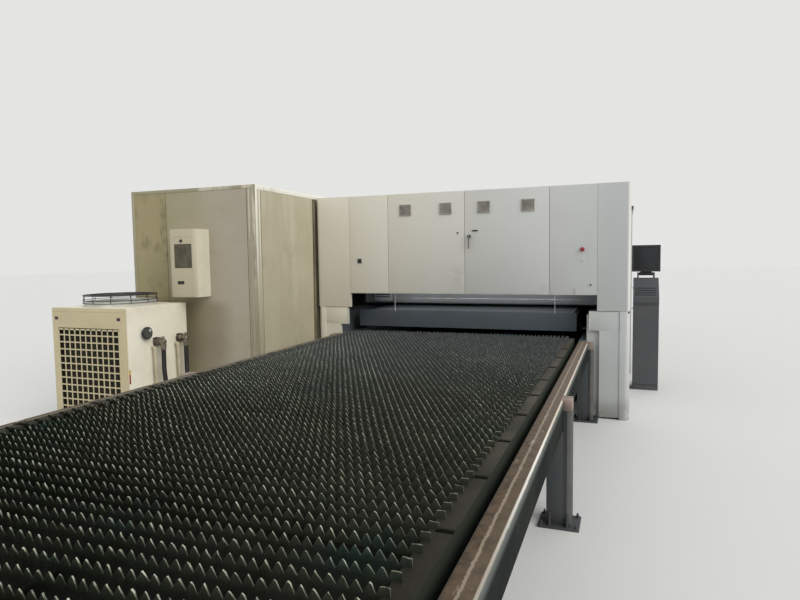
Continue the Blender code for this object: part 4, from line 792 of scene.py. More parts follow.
def pallet_ladder(low, high, settings, bottom):
    """Side beams, cross beams, comb bars under the slats and the stops along each side."""
    top = high.z - settings.frame_drop
    beam = settings.beam_width
    parts = [block((left, low.y, bottom), (left + beam, high.y, top), 0.004)
             for left in (low.x, high.x - beam)]
    bays = round((high.y - low.y) / 1.25)
    pitch = (high.y - low.y - beam) / bays
    cross = block((low.x + beam - WELD, low.y, bottom + 0.004),
                  (high.x - beam + WELD, low.y + beam, top - 0.012), 0.004)
    dark = row(cross, [(0, pitch * i, 0) for i in range(1, bays + 1)])
    comb = block((low.x + 0.5, low.y + beam, top - 0.075),
                 (low.x + 0.508, high.y - beam, top - 0.02))
    dark += row(comb, [((high.x - low.x - 1.0) / 3 * i, 0, 0) for i in range(1, 4)])
    stops = int((high.y - low.y - 0.5) / settings.stop_pitch)
    places = [(0, settings.stop_pitch * i, 0) for i in range(1, stops)]
    for left in (low.x + 0.002, high.x - 0.062):
        right = left + 0.06
        tab = block((left, low.y + 0.43, top - 0.002), (right, low.y + 0.475, top + 0.007), 0.003)
        # Painted shade: a dark strip where each stop's notch would lie in shade
        notch = block((left, low.y + 0.41, top - 0.002), (right, low.y + 0.43, top + 0.0006))
        parts += row(tab, places)
        dark += row(notch, places)
    # The cross beams and comb bars dark: sooty, and in painted shade under the slats
    return tinted(parts, "pallet_frame") + tinted(dark, "soot_and_shade")


def build_lower_pallet(settings):
    """The pallet outside: slats on a ladder frame with horns over its axles."""
    low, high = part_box("lower_pallet")
    build_slats("lower_pallet", low.x, high.x, settings)
    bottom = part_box("lower_wheelset_1")[1].z + 0.02
    parts = pallet_ladder(low, high, settings, bottom)
    for number in (1, 2, 3):
        axle_low, axle_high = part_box(f"lower_wheelset_{number}")
        middle = (axle_low + axle_high) / 2
        for side in (-1, 1):
            inner = middle.x + side * (axle_high.x - middle.x - 0.075)
            horn = block((inner, middle.y - 0.06, middle.z - 0.03),
                         (inner + side * 0.015, middle.y + 0.06, bottom + 0.002), 0.003)
            slot = block((middle.x - 3, middle.y - 0.0186, middle.z - 0.05),
                         (middle.x + 3, middle.y + 0.0186, middle.z + 0.0186))
            parts += tinted([cut(horn, slot)], "pallet_frame")
    gathered("lower_pallet_frame", parts, "lower_pallet")


def build_upper_pallet(settings):
    """The pallet inside: the same slats on a frame with outboard wheel brackets."""
    low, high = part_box("upper_pallet")
    half = (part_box("lower_pallet")[1].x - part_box("lower_pallet")[0].x) / 2
    middle = (low.x + high.x) / 2
    beam = settings.beam_width
    build_slats("upper_pallet", middle - half, middle + half, settings, ragged=False)
    top = high.z - settings.frame_drop
    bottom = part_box("upper_wheel_left_1")[1].z + 0.006
    parts = [block((left, low.y, bottom), (left + beam, high.y, top), 0.004)
             for left in (middle - half, middle + half - beam)]
    cross = block((middle - half + beam - WELD, low.y, bottom + 0.004),
                  (middle + half - beam + WELD, low.y + beam, top - 0.012), 0.004)
    pitch = (high.y - low.y - beam) / 4
    parts += row(cross, [(0, pitch * i, 0) for i in range(1, 5)])
    for word, side in SIDES:
        for number in (1, 2, 3):
            wheel_low, wheel_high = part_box(f"upper_wheel_{word}_{number}")
            along = (wheel_low.y + wheel_high.y) / 2
            web = middle + side * (half + 0.0085)
            tongue = middle + side * (half - beam / 2)
            parts.append(block((web, along - 0.05, bottom - 0.08),
                               (web + side * 0.016, along + 0.05, bottom + 0.001), 0.003))
            parts.append(block((web, along - 0.05, bottom - 0.012),
                               (tongue, along + 0.05, bottom + 0.001), 0.002))
    tinted(parts, "pallet_frame")
    parts += boxed("end_plate", (middle - half + 0.004, low.y - 0.0015, settings.end_plate_bottom),
                   (middle + half - 0.004, low.y + 0.002, high.z - 0.004), 0.001)
    gathered("upper_pallet_frame", parts, "upper_pallet")


def build_wheels():
    """Turned wheels on their axles and spindles, and the chain shaft with its sprockets."""
    for number in (1, 2, 3):
        node = f"lower_wheelset_{number}"
        low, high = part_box(node)
        middle = (low + high) / 2
        tail = (high.x - low.x) / 2
        outer, inner, radius = tail - 0.006, tail - 0.04, (high.z - low.z) / 2
        half = [(0.018, inner - 0.008), (0.026, inner - 0.008), (0.026, inner),
                (radius - 0.003, inner), (radius, inner + 0.003), (radius, outer - 0.003),
                (radius - 0.003, outer), (radius - 0.014, outer), (radius - 0.018, outer - 0.004),
                (0.02, outer - 0.004), (0.018, outer), (0.018, tail)]
        steps = [(r, -h) for r, h in reversed(half)] + half
        dress(drum(middle, "X", steps, 40), "wheel_steel", node, [node],
              f"{node}_turned")
        for word, side in SIDES:
            node = f"upper_wheel_{word}_{number}"
            low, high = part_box(node)
            middle = (low + high) / 2
            end = (high.x - low.x) / 2
            tread = end - 0.034
            steps = [(0.016, -end), (0.016, tread - 0.004), (0.024, tread - 0.003), (0.024, tread),
                     (radius - 0.003, tread), (radius, tread + 0.003), (radius, end - 0.003),
                     (radius - 0.003, end), (0.034, end), (0.03, end - 0.004),
                     (0.014, end - 0.004), (0.012, end - 0.001)]
            if side < 0:
                steps = [(r, -h) for r, h in reversed(steps)]
            dress(drum(middle, "X", steps, 40), "wheel_steel", node, [node],
                  f"{node}_turned")
    build_chain_shaft()


def build_chain_shaft():
    """The cross shaft with a toothed wheel near each end."""
    low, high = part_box("drive_shaft")
    middle = (low + high) / 2
    end = (high.x - low.x) / 2
    shaft = [(0.022, -end), (0.025, -end + 0.003), (0.025, -end + 0.03), (0.025, end - 0.03),
             (0.025, end - 0.003), (0.022, end)]
    wheel = [(0.04, -0.02), (0.042, -0.018), (0.042, -0.01), (0.066, -0.01), (0.069, -0.006),
             (0.069, 0.006), (0.066, 0.01), (0.042, 0.01), (0.042, 0.018), (0.04, 0.02)]
    parts = [drum(middle, "X", shaft, 32)]
    for side in (-1, 1):
        centre = middle + Vector((side * (end - 0.056), 0, 0))
        sprocket = drum(centre, "X", wheel, 36)

        def toothed(face):
            out = face.calc_center_median() - centre
            turn = math.atan2(out.z, out.y) + math.pi
            return (math.hypot(out.y, out.z) > 0.0675 and abs(face.normal.x) < 0.1
                    and int(turn / math.tau * 36) % 2)

        with editing(sprocket) as shape:
            pick(sprocket, shape, faces=toothed)
            bpy.ops.mesh.extrude_faces_move(TRANSFORM_OT_shrink_fatten={"value": 0.0105})
        parts.append(sprocket)
    gathered("drive_shaft_turned", tinted(parts, "wheel_steel"), "drive_shaft",
             ["drive_shaft"])


def post(node, beam_low, beam_high, side):
    """A post's steel, its cap over the beam's edge and its pale flange, as three lists."""
    low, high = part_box(node)
    margin = 0.05
    near = low.y + margin
    far = near + 0.12
    left, right = low.x + margin, high.x - margin
    inner, outer, face = (left, right, beam_high.x) if side > 0 else (right, left, beam_low.x)
    wall = face + side * GAP
    steel = [block((wall, near, 0.012), (outer, far, high.z - 0.07), 0.003),
             block((inner, near + 0.0004, 0.012),
                   (wall + side * 0.002, far - 0.0004, beam_low.z - GAP), 0.001),
             block((low.x, low.y, 0), (high.x, high.y, 0.015), 0.002)]
    caps = [block((wall, near - 0.004, high.z - 0.069),
                  (outer, far + 0.004, high.z + 0.0008), 0.002),
            block((face - side * 0.014, near - 0.0036, beam_high.z + 0.0002),
                  (wall + side * 0.004, far + 0.0036, high.z + 0.0007))]
    flanges = [block((outer - side * 0.03, near - 0.003, 0.016),
                     (outer + side * 0.0005, near + 0.002, high.z - 0.0705), 0.001)]
    for x in (left + 0.02, right - 0.028):
        gusset = block((x, near - 0.045, 0.014), (x + 0.008, near + 0.002, 0.09))
        with editing(gusset) as shape:
            pick(gusset, shape, verts=lambda v: v.co.z > 0.05 and v.co.y < near - 0.01)
            bpy.ops.transform.translate(value=(0, 0.036, 0))
        steel.append(gusset)
    places = [Vector((x, y, 0.015)) for x in (low.x + 0.022, high.x - 0.022)
              for y in (low.y + 0.022, low.y + 0.2)]
    anchor = drum(places[0], "Z", [(0.013, 0), (0.013, 0.003), (0.011, 0.003), (0.011, 0.013),
                                   (0.006, 0.013), (0.006, 0.026)], 6)
    steel += row(anchor, [place - places[0] for place in places[1:]])
    return steel, caps, flanges


def build_rails(settings):
    """Beams with rounded edges and the posts with caps, gussets, base plates and anchors."""
    for word, side in SIDES:
        low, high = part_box(f"rail_beam_{word}")
        beam = block(low, high, name=f"rail_beam_{word}_rounded")
        round_edges(beam, lambda at, way: abs(way.y) > 0.9, settings.rail_radius, 5)
        dress(beam, "rail_steel", MACHINE, [f"rail_beam_{word}"])
        nodes = [f"post_{word}_{number}" for number in (1, 2, 3)]
        kinds = [sum(lists, []) for lists in zip(*[post(node, low, high, side) for node in nodes])]
        for pieces, finish in zip(kinds, ("post_paint", "post_cap", "post_flange")):
            tinted(pieces, finish)
        gathered(f"posts_{word}", sum(kinds, []), MACHINE, nodes)


def build_bed():
    """The bed's end plates, and its guide rails and racks with their bolts."""
    for word, side in SIDES:
        low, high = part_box(f"bed_side_{word}")
        outer, inner = (low.x, high.x) if side < 0 else (high.x, low.x)
        wheel_side = outer - side * 0.2
        plates = boxed("enclosure_paint", (outer, low.y - 0.0022, 0.02),
                       (wheel_side, low.y - 0.0002, high.z - 0.01))
        plates += boxed("enclosure_paint", (wheel_side, low.y - 0.0022, 0.02),
                        (inner, low.y - 0.0002, 0.8))
        gathered(f"bed_end_plate_{word}", plates, MACHINE)
        guide = outer - side * 0.07
        rack = guide - side * 0.05
        parts = [block((guide - 0.016, low.y + 0.02, high.z - 0.002),
                       (guide + 0.016, high.y - 0.02, high.z - 0.0004)),
                 block((rack - 0.012, low.y + 0.05, high.z - 0.03 - GAP),
                       (rack + 0.012, high.y - 0.05, high.z - 0.03 + 0.012), 0.001)]
        count = 24
        pitch = (high.y - low.y - 0.4) / (count - 1)
        head = drum((inner, low.y + 0.2, 0.7), "X", [(0.01, -0.004), (0.01, 0.004)], 6)
        parts += row(head, [(0, pitch * i, 0) for i in range(1, count)])
        gathered(f"bed_rack_{word}", tinted(parts, "wheel_steel"), MACHINE)


# The walls' panels, and how far behind their faces lies the dark sheet that paints shade into the
# seams
PANEL_DEPTH = 0.009
PANEL_GAP = 0.005
PANEL_BEVEL = 0.002
PANEL_SINK = 0.006
# Foot of the upper panels and top of the plinth over a wall's lower edge
PANEL_FOOT = 0.12
PLINTH_TOP = 0.115


def slab(low, high, axis, side, seams):
    """Panels side by side on a wall's outer face, between two corners and parted at seams."""
    index, along = "XYZ".index(axis[0]), "XYZ".index(axis[1])
    edges = [low[along], *seams, high[along]]
    panels = []
    for start, end in zip(edges, edges[1:]):
        near, far = Vector(low), Vector(high)
        near[along], far[along] = start + PANEL_GAP / 2, end - PANEL_GAP / 2
        if side > 0:
            near[index] = high[index] - PANEL_DEPTH
        else:
            far[index] = low[index] + PANEL_DEPTH
        panels.append(block(near, far, PANEL_BEVEL))
    return panels


def evenly(low, high, count):
    """The places that cut a length into equal parts."""
    return [low + (high - low) * i / count for i in range(1, count)]


def build_walls():
    """Side and rear walls and the roof as bent panels on a dark sheet that paints shade into the
    seams.
    """
    for node, side, count in (("enclosure_wall_left", -1, 7), ("enclosure_wall_right_front", 1, 2),
                              ("enclosure_wall_right_rear", 1, 3)):
        low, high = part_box(node)
        face, hidden = (high.x, low.x) if side > 0 else (low.x, high.x)
        sunk = face - side * PANEL_SINK
        parts = boxed("liner", (hidden, low.y, low.z), (sunk, high.y, high.z))
        parts += boxed("seam_shadow", (sunk - side * 0.0016, low.y, low.z),
                       (sunk + side * 0.0004, high.y, high.z))
        panels = slab((low.x, low.y, low.z + PANEL_FOOT), high, "XY", side,
                      evenly(low.y, high.y, count))
        panels += slab(low, (high.x, high.y, low.z + PLINTH_TOP), "XY", side,
                       evenly(low.y, high.y, max(1, count // 2)))
        pitch = (high.y - low.y) / count
        # On the right the side door slides past, so the screws are flush there
        screw_face = face - (0.0023 if side > 0 else 0)
        screws = [Vector((screw_face, low.y + pitch * (i + share), z)) for i in range(count)
                  for share in (0.06, 0.94) for z in (0.2, 0.95, 1.7, 2.34)]
        heads = drum(screws[0], "X", [(0.006, -0.0025), (0.007, 0), (0.006, 0.0025)], 8)
        panels += row(heads, [place - screws[0] for place in screws[1:]])
        parts += tinted(panels, "enclosure_paint")
        if node == "enclosure_wall_left":
            for i in (1, 3, 5):
                parts += wall_vent(face, low.y + pitch * (i + 0.5))
        gathered(f"{node}_panels", parts, MACHINE, [node])
    build_rear_and_roof()


def wall_vent(face, along):
    """A louvred vent high on the left wall, built level with the front and turned."""
    left, right, bottom, top = along - 0.21, along + 0.21, 1.99, 2.25
    blades = louvres((left, -0.012, bottom), (right, -0.002, top), 9)
    rim = block((left - 0.015, -0.008, bottom - 0.015), (right + 0.015, 0.0, top + 0.015), 0.002)
    parts = [cut(rim, block((left, -0.02, bottom), (right, -0.002, top))), *blades]
    turn = (Matrix.Translation((face + 0.004, along, 0)) @ Matrix.Rotation(-math.pi / 2, 4, "Z")
            @ Matrix.Translation((-along, 0, 0)))
    for piece in parts:
        piece.data.transform(turn)
    return tinted(parts, "vent_grey")


def backed(low, high, index):
    """The liner of a wall or roof and the dark sheet on it, which paints shade into the seams."""
    inner = Vector(high)
    inner[index] -= PANEL_SINK + 0.002
    start, end = Vector(low), Vector(high)
    start[index] = inner[index]
    end[index] -= PANEL_SINK
    return boxed("liner", low, inner) + boxed("seam_shadow", start, end)


def build_rear_and_roof():
    """The rear wall with louvred doors and the roof with its panels."""
    low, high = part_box("enclosure_rear")
    backing = backed(low, high, 1)
    panels = slab((low.x, low.y, low.z + PANEL_FOOT), high, "YX", 1,
                  evenly(low.x, high.x, 4))
    panels += slab(low, (high.x, high.y, low.z + PLINTH_TOP), "YX", 1, [])
    vents = []
    for share in (0.375, 0.625):
        middle = low.x + (high.x - low.x) * share
        vents += louvres((middle - 0.28, high.y - 0.006, 0.5),
                         (middle + 0.28, high.y - 0.0005, 1.0), 14)
    gathered("enclosure_rear_panels",
             backing + tinted(panels, "enclosure_paint") + tinted(vents, "vent_grey"), MACHINE,
             ["enclosure_rear"])
    backing = backed(ROOF_LOW, ROOF_HIGH, 2)
    panels = slab(ROOF_LOW, ROOF_HIGH, "ZY", 1, evenly(ROOF_LOW.y, ROOF_HIGH.y, 6))
    gathered("enclosure_roof_panels", backing + tinted(panels, "enclosure_paint"), MACHINE,
             ["enclosure_roof"])


def build_column(node, side, settings):
    """A front column: its head beside the doors, its leg, and the skirt and apron inside it."""
    low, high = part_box(node)
    outer = low.x if side < 0 else high.x
    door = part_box("cabinet_door_1")[0].x if side < 0 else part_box("cabinet_door_4")[1].x
    inner = door + side * 0.002
    beside = inner - side * 0.002
    foot = settings.column_bottom
    front, back = FRONT_Y, ROOF_LOW.y - GAP
    head = block((inner, front, foot), (outer, front + 0.035, high.z))
    body = block((beside, front + 0.035, foot), (outer, back, high.z))
    leg = block((outer, front, 0), (outer - side * 0.1, back, foot - 0.0008))
    for piece, radius in ((head, 0.034), (leg, settings.corner_radius)):
        round_edges(piece, lambda at, way: abs(way.z) > 0.9 and abs(at.x - outer) < 0.001
                    and abs(at.y - front) < 0.001, radius, 8)
        round_edges(piece, lambda at, way: abs(way.x) > 0.9 and at.y < front + 0.001, 0.003, 2)
    skirt_inner = MIDDLE_X + side * settings.skirt_inner
    leg_inner = outer - side * 0.1
    wheel_side = MIDDLE_X + side * (settings.skirt_inner + 0.105)
    skirt = block((skirt_inner, front + 0.008, 0.93),
                  (leg_inner, front + 0.035, foot - 0.004), 0.003)
    apron = block((wheel_side, front + 0.008, 0.02), (leg_inner, front + 0.035, 0.9305))
    # Painted shade: dark sheets on the column's inner side
    shade_sheets = [block((beside, front + 0.036, foot), (beside - side * 0.001, back, high.z)),
              block((beside, front + 0.036, foot - 0.001), (outer - side * 0.004, back, foot))]
    parts = tinted([head, body, leg, skirt, apron], "enclosure_paint") + tinted(shade_sheets, "soot_and_shade")
    parts += boxed("white_ring", (skirt_inner, front + 0.006, 0.931),
                   (skirt_inner + side * 0.014, front + 0.0085, foot - 0.006), 0.001)
    parts += boxed("seam_shadow", (skirt_inner, front + 0.012, foot - 0.02),
                   (outer - side * 0.004, front + 0.03, foot + 0.01))
    gathered(f"{node}_bent", parts, MACHINE, [node])


def build_front(settings):
    """Both columns, and under the doors the lip with the two hanging rods."""
    for word, side in SIDES:
        build_column(f"front_column_{word}", side, settings)
    low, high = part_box("cabinet_shell")
    lip = boxed("white_ring", (low.x + 0.002, FRONT_Y + 0.0002, low.z),
                (high.x - 0.002, FRONT_Y + 0.022, low.z + 0.0058), 0.0025)
    rods = [bar([spot(x, 0.006, 1.1), spot(x, 0.006, low.z + 0.004)], radius)
            for x, radius in zip(settings.rods, (0.0034, 0.0024))]
    gathered("doorway_lip", lip + tinted(rods, "white_ring"), MACHINE)


def door_vent(left, top, size):
    """A filter vent: a bevelled frame round fine blades."""
    front = FRONT_Y - 0.012
    right, bottom = left + size, top - size * 0.9
    rim = block((left, front, bottom), (right, FRONT_Y + 0.0005, top), 0.002)
    hole = block((left + 0.01, front - 0.01, bottom + 0.01),
                 (right - 0.01, front + 0.009, top - 0.01))
    blades = louvres((left + 0.008, front + 0.002, bottom + 0.011),
                     (right - 0.008, front + 0.0095, top - 0.012), 11, 0.0018, 0.5)
    return tinted([cut(rim, hole), *blades], "vent_grey")


def build_doors(settings):
    """Four flush doors with rounded edges, their vents, locks and small fittings."""
    for number in (1, 2, 3, 4):
        node = f"cabinet_door_{number}"
        low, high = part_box(node)
        door = block((low.x, FRONT_Y, low.z), high, 0.0025, 3)
        parts = tinted([door], "enclosure_paint")
        if number in (2, 3):
            for inset in (0.147, 0.629):
                parts += door_vent(low.x + inset, settings.vent_top, settings.vent_size)
        if number == 1:
            x, z = settings.socket
            x = spot(x, 0, z).x
            for finish, half, out, back in (("white_ring", 0.034, 0.006, 0),
                                            ("black_plastic", 0.026, 0.009, 0.004)):
                parts += boxed(finish, (x - half, FRONT_Y - out, z - half),
                               (x + half, FRONT_Y - back, z + half), 0.002)
        if number == 2:
            parts += lock(spot(-0.019, 0, 1.99))
        if number == 3:
            x = spot(0.1775, 0, 0).x
            parts += boxed("black_plastic", (x - 0.0325, FRONT_Y - 0.012, 2.003),
                           (x + 0.0325, FRONT_Y, 2.017), 0.004)
        if number == 4:
            cut(door, drum(spot(1.32, 0, 1.782), "Y", [(0.0126, -0.03), (0.0126, 0.04)], 24))
            parts += lock(spot(1.406, 0, 1.412))
            parts += turned("bright_steel", spot(1.32, 0, 1.67), "Y",
                            [(0.008, -0.004), (0.011, -0.002), (0.011, 0)], 20)
            parts += boxed("vent_grey", spot(1.238, -0.004, 1.312), spot(1.252, 0, 1.38), 0.0015)
        gathered(f"{node}_fitted", parts, node, [node])
    build_handle_and_button()


def lock(at):
    """A quarter-turn lock: a steel ring round a dark insert."""
    ring_steps = [(0.012, -0.006), (0.014, -0.004), (0.014, 0)]
    insert_steps = [(0.007, -0.008), (0.008, -0.007), (0.008, -0.004)]
    return (turned("bright_steel", at, "Y", ring_steps, 28)
            + turned("black_plastic", at, "Y", insert_steps, 20))


def build_handle_and_button():
    """The swing handle on its base and the red mushroom button."""
    low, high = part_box("door_handle")
    middle = (low + high) / 2
    pivot = Vector((middle.x, high.y, high.z - 0.013))
    base = turned("black_plastic", pivot, "Y",
                  [(0.0175, -0.03), (0.0182, -0.028), (0.0182, 0)], 28)
    grip = block((middle.x - 0.009, low.y, low.z),
                 (middle.x + 0.009, low.y + 0.012, high.z), 0.0045, 4)
    with editing(grip) as shape:
        pick(grip, shape, verts=lambda v: v.co.z < low.z + 0.02)
        bpy.ops.transform.resize(value=(0.72, 1, 1), center_override=(middle.x, low.y, low.z))
    barrel = turned("black_plastic", (pivot.x, low.y + 0.0005, pivot.z), "Y",
                    [(0.006, -0.0004), (0.006, 0.003)], 16)
    gathered("door_handle_grip", base + tinted([grip], "handle_grey") + barrel, "door_handle",
             ["door_handle"])
    low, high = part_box("estop_button")
    middle = (low + high) / 2
    back = FRONT_Y - low.y
    steps = [(0.013, -back), (0.019, -back + 0.002), (0.022, -back + 0.007),
             (0.022, -back + 0.018), (0.0215, -0.0062), (0.0115, -0.006),
             (0.0115, high.y - FRONT_Y)]
    button = drum((middle.x, FRONT_Y, middle.z), "Y", steps, 36)
    dress(button, "red_plastic", "estop_button", ["estop_button"], "estop_mushroom")


def build_cabinets():
    """Mounting plates with rows of modules inside the cabinets over the doorway."""
    low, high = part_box("cabinet_shell")
    wide = 0.045
    pitch = wide + 0.006
    parts = []
    for number in (1, 2, 3, 4):
        door_low, door_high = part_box(f"cabinet_door_{number}")
        left, right = door_low.x + 0.06, door_high.x - 0.06
        parts += boxed("source_paint", (left, high.y - 0.035, low.z + 0.08),
                       (right, high.y - 0.03, high.z - 0.08), 0.001)
        for level in (0.3, 0.62, 0.92):
            up = low.z + level
            parts += boxed("bright_steel", (left + 0.03, high.y - 0.042, up - 0.017),
                           (right - 0.03, high.y - 0.035, up + 0.017), 0.001)
            count = int((right - left - 0.12) / pitch)
            module = block((left + 0.05, high.y - 0.11, up - 0.04),
                           (left + 0.05 + wide, high.y - 0.042, up + 0.04), 0.003)
            modules = row(module, [(pitch * i, 0, 0) for i in range(1, count)])
            parts += tinted(modules, "console_paint")
    gathered("cabinet_modules", parts, MACHINE)


def build_gantry():
    """Girder with ribs, end saddles, carriage cover and the cutting head."""
    low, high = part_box("gantry_beam")
    bottom = high.z - 0.27
    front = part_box("carriage")[1].y + GAP
    girder = block((low.x, front, bottom), (high.x, front + 0.34, high.z))
    round_edges(girder, lambda at, way: abs(way.x) > 0.9, 0.04, 3)
    parts = tinted([girder], "gantry_paint")
    for z in (bottom + 0.06, high.z - 0.07):
        parts += boxed("bright_steel", (low.x + 0.12, front - 0.0002, z),
                       (high.x - 0.12, front + 0.01, z + 0.012), 0.002)
    for guide in (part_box("bed_side_left")[0].x + 0.07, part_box("bed_side_right")[1].x - 0.07):
        parts += boxed("gantry_paint", (guide - 0.05, low.y, low.z),
                       (guide + 0.05, high.y, low.z + 0.12), 0.01, 3)
    gathered("gantry_girder", parts, "gantry_beam", ["gantry_beam"])
    low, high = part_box("carriage")
    parts = tinted([block(low, high, 0.012, 3),
                    block((low.x + 0.02, low.y, high.z - 0.2),
                          (high.x - 0.02, high.y - 0.01, high.z - 0.01), 0.01, 3)], "gantry_paint")
    for i in range(6):
        parts += boxed("bellows", (low.x + 0.03, low.y - 0.0001, low.z + 0.05 + 0.03 * i),
                       (high.x - 0.03, low.y + 0.006, low.z + 0.066 + 0.03 * i), 0.002)
    gathered("carriage_cover", parts, "carriage", ["carriage"])
    low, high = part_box("cutting_head")
    steps = [(0.004, 0), (0.008, 0.004), (0.014, 0.024), (0.024, 0.04), (0.026, 0.06),
             (0.033, 0.08), (0.033, 0.09), (0.045, 0.1), (0.058, 0.13), (0.06, 0.134), (0.06, 0.2),
             (0.057, 0.203), (0.057, 0.209), (0.06, 0.212), (0.06, 0.3), (0.057, 0.303),
             (0.057, 0.309), (0.06, 0.312), (0.06, 0.355), (0.055, 0.36), (0.042, 0.36),
             (0.042, 0.415), (0.038, 0.42)]
    head = drum(((low.x + high.x) / 2, (low.y + high.y) / 2, low.z), "Z", steps, 40)
    dress(head, "head_aluminium", "cutting_head", ["cutting_head"],
          "cutting_head_turned")


def build_side_door():
    """The sliding service door: a framed window and a bent grab handle."""
    low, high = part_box("side_door")
    glass_low, glass_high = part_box("side_door_window")

    def opening():
        return block((low.x - 0.1, glass_low.y - GAP, glass_low.z - GAP),
                     (high.x + 0.1, glass_high.y + GAP, glass_high.z + GAP))

    door = cut(block(low, high, 0.003), opening())
    rim = cut(block((high.x - 0.004, glass_low.y - 0.03, glass_low.z - 0.03),
                    (high.x + 0.004, glass_high.y + 0.03, glass_high.z + 0.03), 0.002), opening())
    bends = ((0.003, 0.95), (0.03, 0.96), (0.034, 0.99),
             (0.034, 1.21), (0.03, 1.24), (0.003, 1.25))
    grip = bar([(high.x + out, low.y + 0.09, z) for out, z in bends], 0.008)
    parts = tinted([door], "enclosure_paint") + tinted([rim], "black_plastic")
    gathered("side_door_leaf", parts + tinted([grip], "bright_steel"), "side_door",
             ["side_door"])


def build_room(settings):
    """Trims on the room's edges, its seams, its door's handle and, at the joint to the enclosure,
    dark strips that paint the shadow in the gap.
    """
    shell_low, shell_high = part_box("room_shell")
    low = Vector((shell_low.x, spot(0, ROOM_FRONT, 0).y, 0))
    high = Vector((spot(-1.824, 0, 0).x, shell_high.y, shell_high.z))
    proud = 0.004
    wide = settings.trim_width
    trims = []

    def trim(corner, opposite):
        trims.append(block(corner, opposite, 0.0015))

    for x, out_x in ((low.x, -1), (high.x, 1)):
        for y, out_y in ((low.y, -1), (high.y, 1)):
            trim((x + out_x * proud, y, 0), (x - out_x * wide, y + out_y * proud, high.z))
            trim((x, y + out_y * proud, 0), (x + out_x * proud, y - out_y * wide, high.z))
        for z, tall in ((0, wide), (high.z - 0.05, 0.05)):
            trim((x, low.y + wide, z), (x + out_x * proud, high.y - wide, z + tall))
    for y, out in ((low.y, -1), (high.y, 1)):
        for z in (0, high.z - wide):
            trim((low.x + wide, y, z), (high.x - wide, y + out * proud, z + wide))
    trims.append(block((high.x - 0.082, low.y - 0.006, 0),
                       (high.x - 0.066, low.y, high.z - wide - 0.001), 0.003))
    trim((high.x, low.y + 0.066, 0), (high.x + 0.004, low.y + 0.082, high.z - 0.056))
    parts = tinted(trims, "aluminium")
    parts += boxed("beige_pipe", (high.x, low.y + 0.1, 1.68),
                   (high.x + 0.0012, FRONT_Y - 0.125, 1.69))
    # Painted shadow: a strip, wider towards the bottom, in the gap between the room and the
    # enclosure
    joint = block((high.x - 0.002, FRONT_Y - 0.07, 0),
                  (high.x + 0.022, FRONT_Y - 0.012, high.z - 0.05), 0.009, 3)
    with editing(joint) as shape:
        pick(joint, shape, verts=lambda v: v.co.z > 1.0 and v.co.y < FRONT_Y - 0.03)
        bpy.ops.transform.translate(value=(0, 0.028, 0))
    parts += tinted([joint], "gap_shadow")
    parts += boxed("seam_shadow", (high.x - 0.002, FRONT_Y - 0.013, 0),
                   (high.x + 0.024, FRONT_Y - 0.001, high.z - 0.05))
    seam_x = spot(-2.966, 0, 0).x
    for corner, opposite in (
            ((seam_x - 0.003, low.y - 0.0012, 0.04), (seam_x + 0.003, low.y, high.z - 0.04)),
            ((high.x - 0.104, low.y - 0.001, 0.04), (high.x - 0.098, low.y, high.z - 0.04)),
            ((high.x, low.y + 0.098, 0.04), (high.x + 0.001, low.y + 0.104, high.z - 0.06))):
        parts += boxed("soft_seam", corner, opposite)
    gathered("room_trims", parts, MACHINE)
    door_low, door_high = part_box("room_door")
    x, y = door_low.x + 0.06, door_high.y
    grip = bar([(x, y, 1.0), (x, y + 0.05, 1.0), (door_low.x + 0.16, y + 0.05, 1.0)], 0.009)
    rose = drum((x, y, 1.0), "Y", [(0.024, 0), (0.024, 0.006)], 24)
    gathered("room_door_grip", tinted([grip, rose], "bright_steel"), "room_door")


def build_cooler():
    """The wall unit: rounded casing, mesh grille, knob, indicator dots and slot."""
    low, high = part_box("air_conditioner")
    casing = block(low, high)
    round_edges(casing, lambda at, way: abs(way.z) > 0.9 and at.y < low.y + 0.001, 0.032, 8)
    round_edges(casing, lambda at, way: abs(way.z) < 0.5 and at.y < low.y + 0.02, 0.006, 3)
    left, right = low.x + 0.064, low.x + 0.288
    bottom, top = high.z - 0.155 - 0.25, high.z - 0.155
    width, height = high.x - low.x, high.z - low.z
    slot_left, slot_right = low.x + width * 0.28, low.x + width * 0.54
    slot_bottom, slot_top = high.z - height * 0.81, high.z - height * 0.76
    hole = block((left, low.y - 0.02, bottom), (right, low.y + 0.012, top))
    slot = block((slot_left, low.y - 0.01, slot_bottom), (slot_right, low.y + 0.006, slot_top))
    cut(casing, hole, slot)
    mesh = lattice((left, low.y + 0.004, bottom), (right, low.y + 0.004, top), 16, 20,
                   0.006, 0.002)
    parts = tinted([casing], "cooler_paint") + tinted([mesh], "cooler_mesh")
    # Painted shade behind the wall unit's grille
    parts += boxed("duct_shade", (left, low.y + 0.0105, bottom), (right, low.y + 0.0118, top))
    parts += boxed("black_plastic", (slot_left, low.y + 0.004, slot_bottom),
                   (slot_right, low.y + 0.0055, slot_top))
    parts += turned("black_plastic", (low.x + 0.158, low.y, high.z - 0.122), "Y",
                    [(0.012, -0.01), (0.016, -0.008), (0.016, 0)], 28)
    for i in range(6):
        parts += turned("cooler_mesh", (low.x + 0.092 + 0.03 * i, low.y, high.z - 0.084), "Y",
                        [(0.0035, -0.002), (0.0035, 0)], 12)
    gathered("air_conditioner_casing", parts, MACHINE, ["air_conditioner"])


# The corners of the chiller's casing and the middle of its fan
CHILLER_LOW = spot(-3.561, -2.225, 0.07)
CHILLER_HIGH = spot(-2.643, -1.374, 1.279)
FAN_CENTRE = spot(-3.102, -1.7995, CHILLER_HIGH.z)


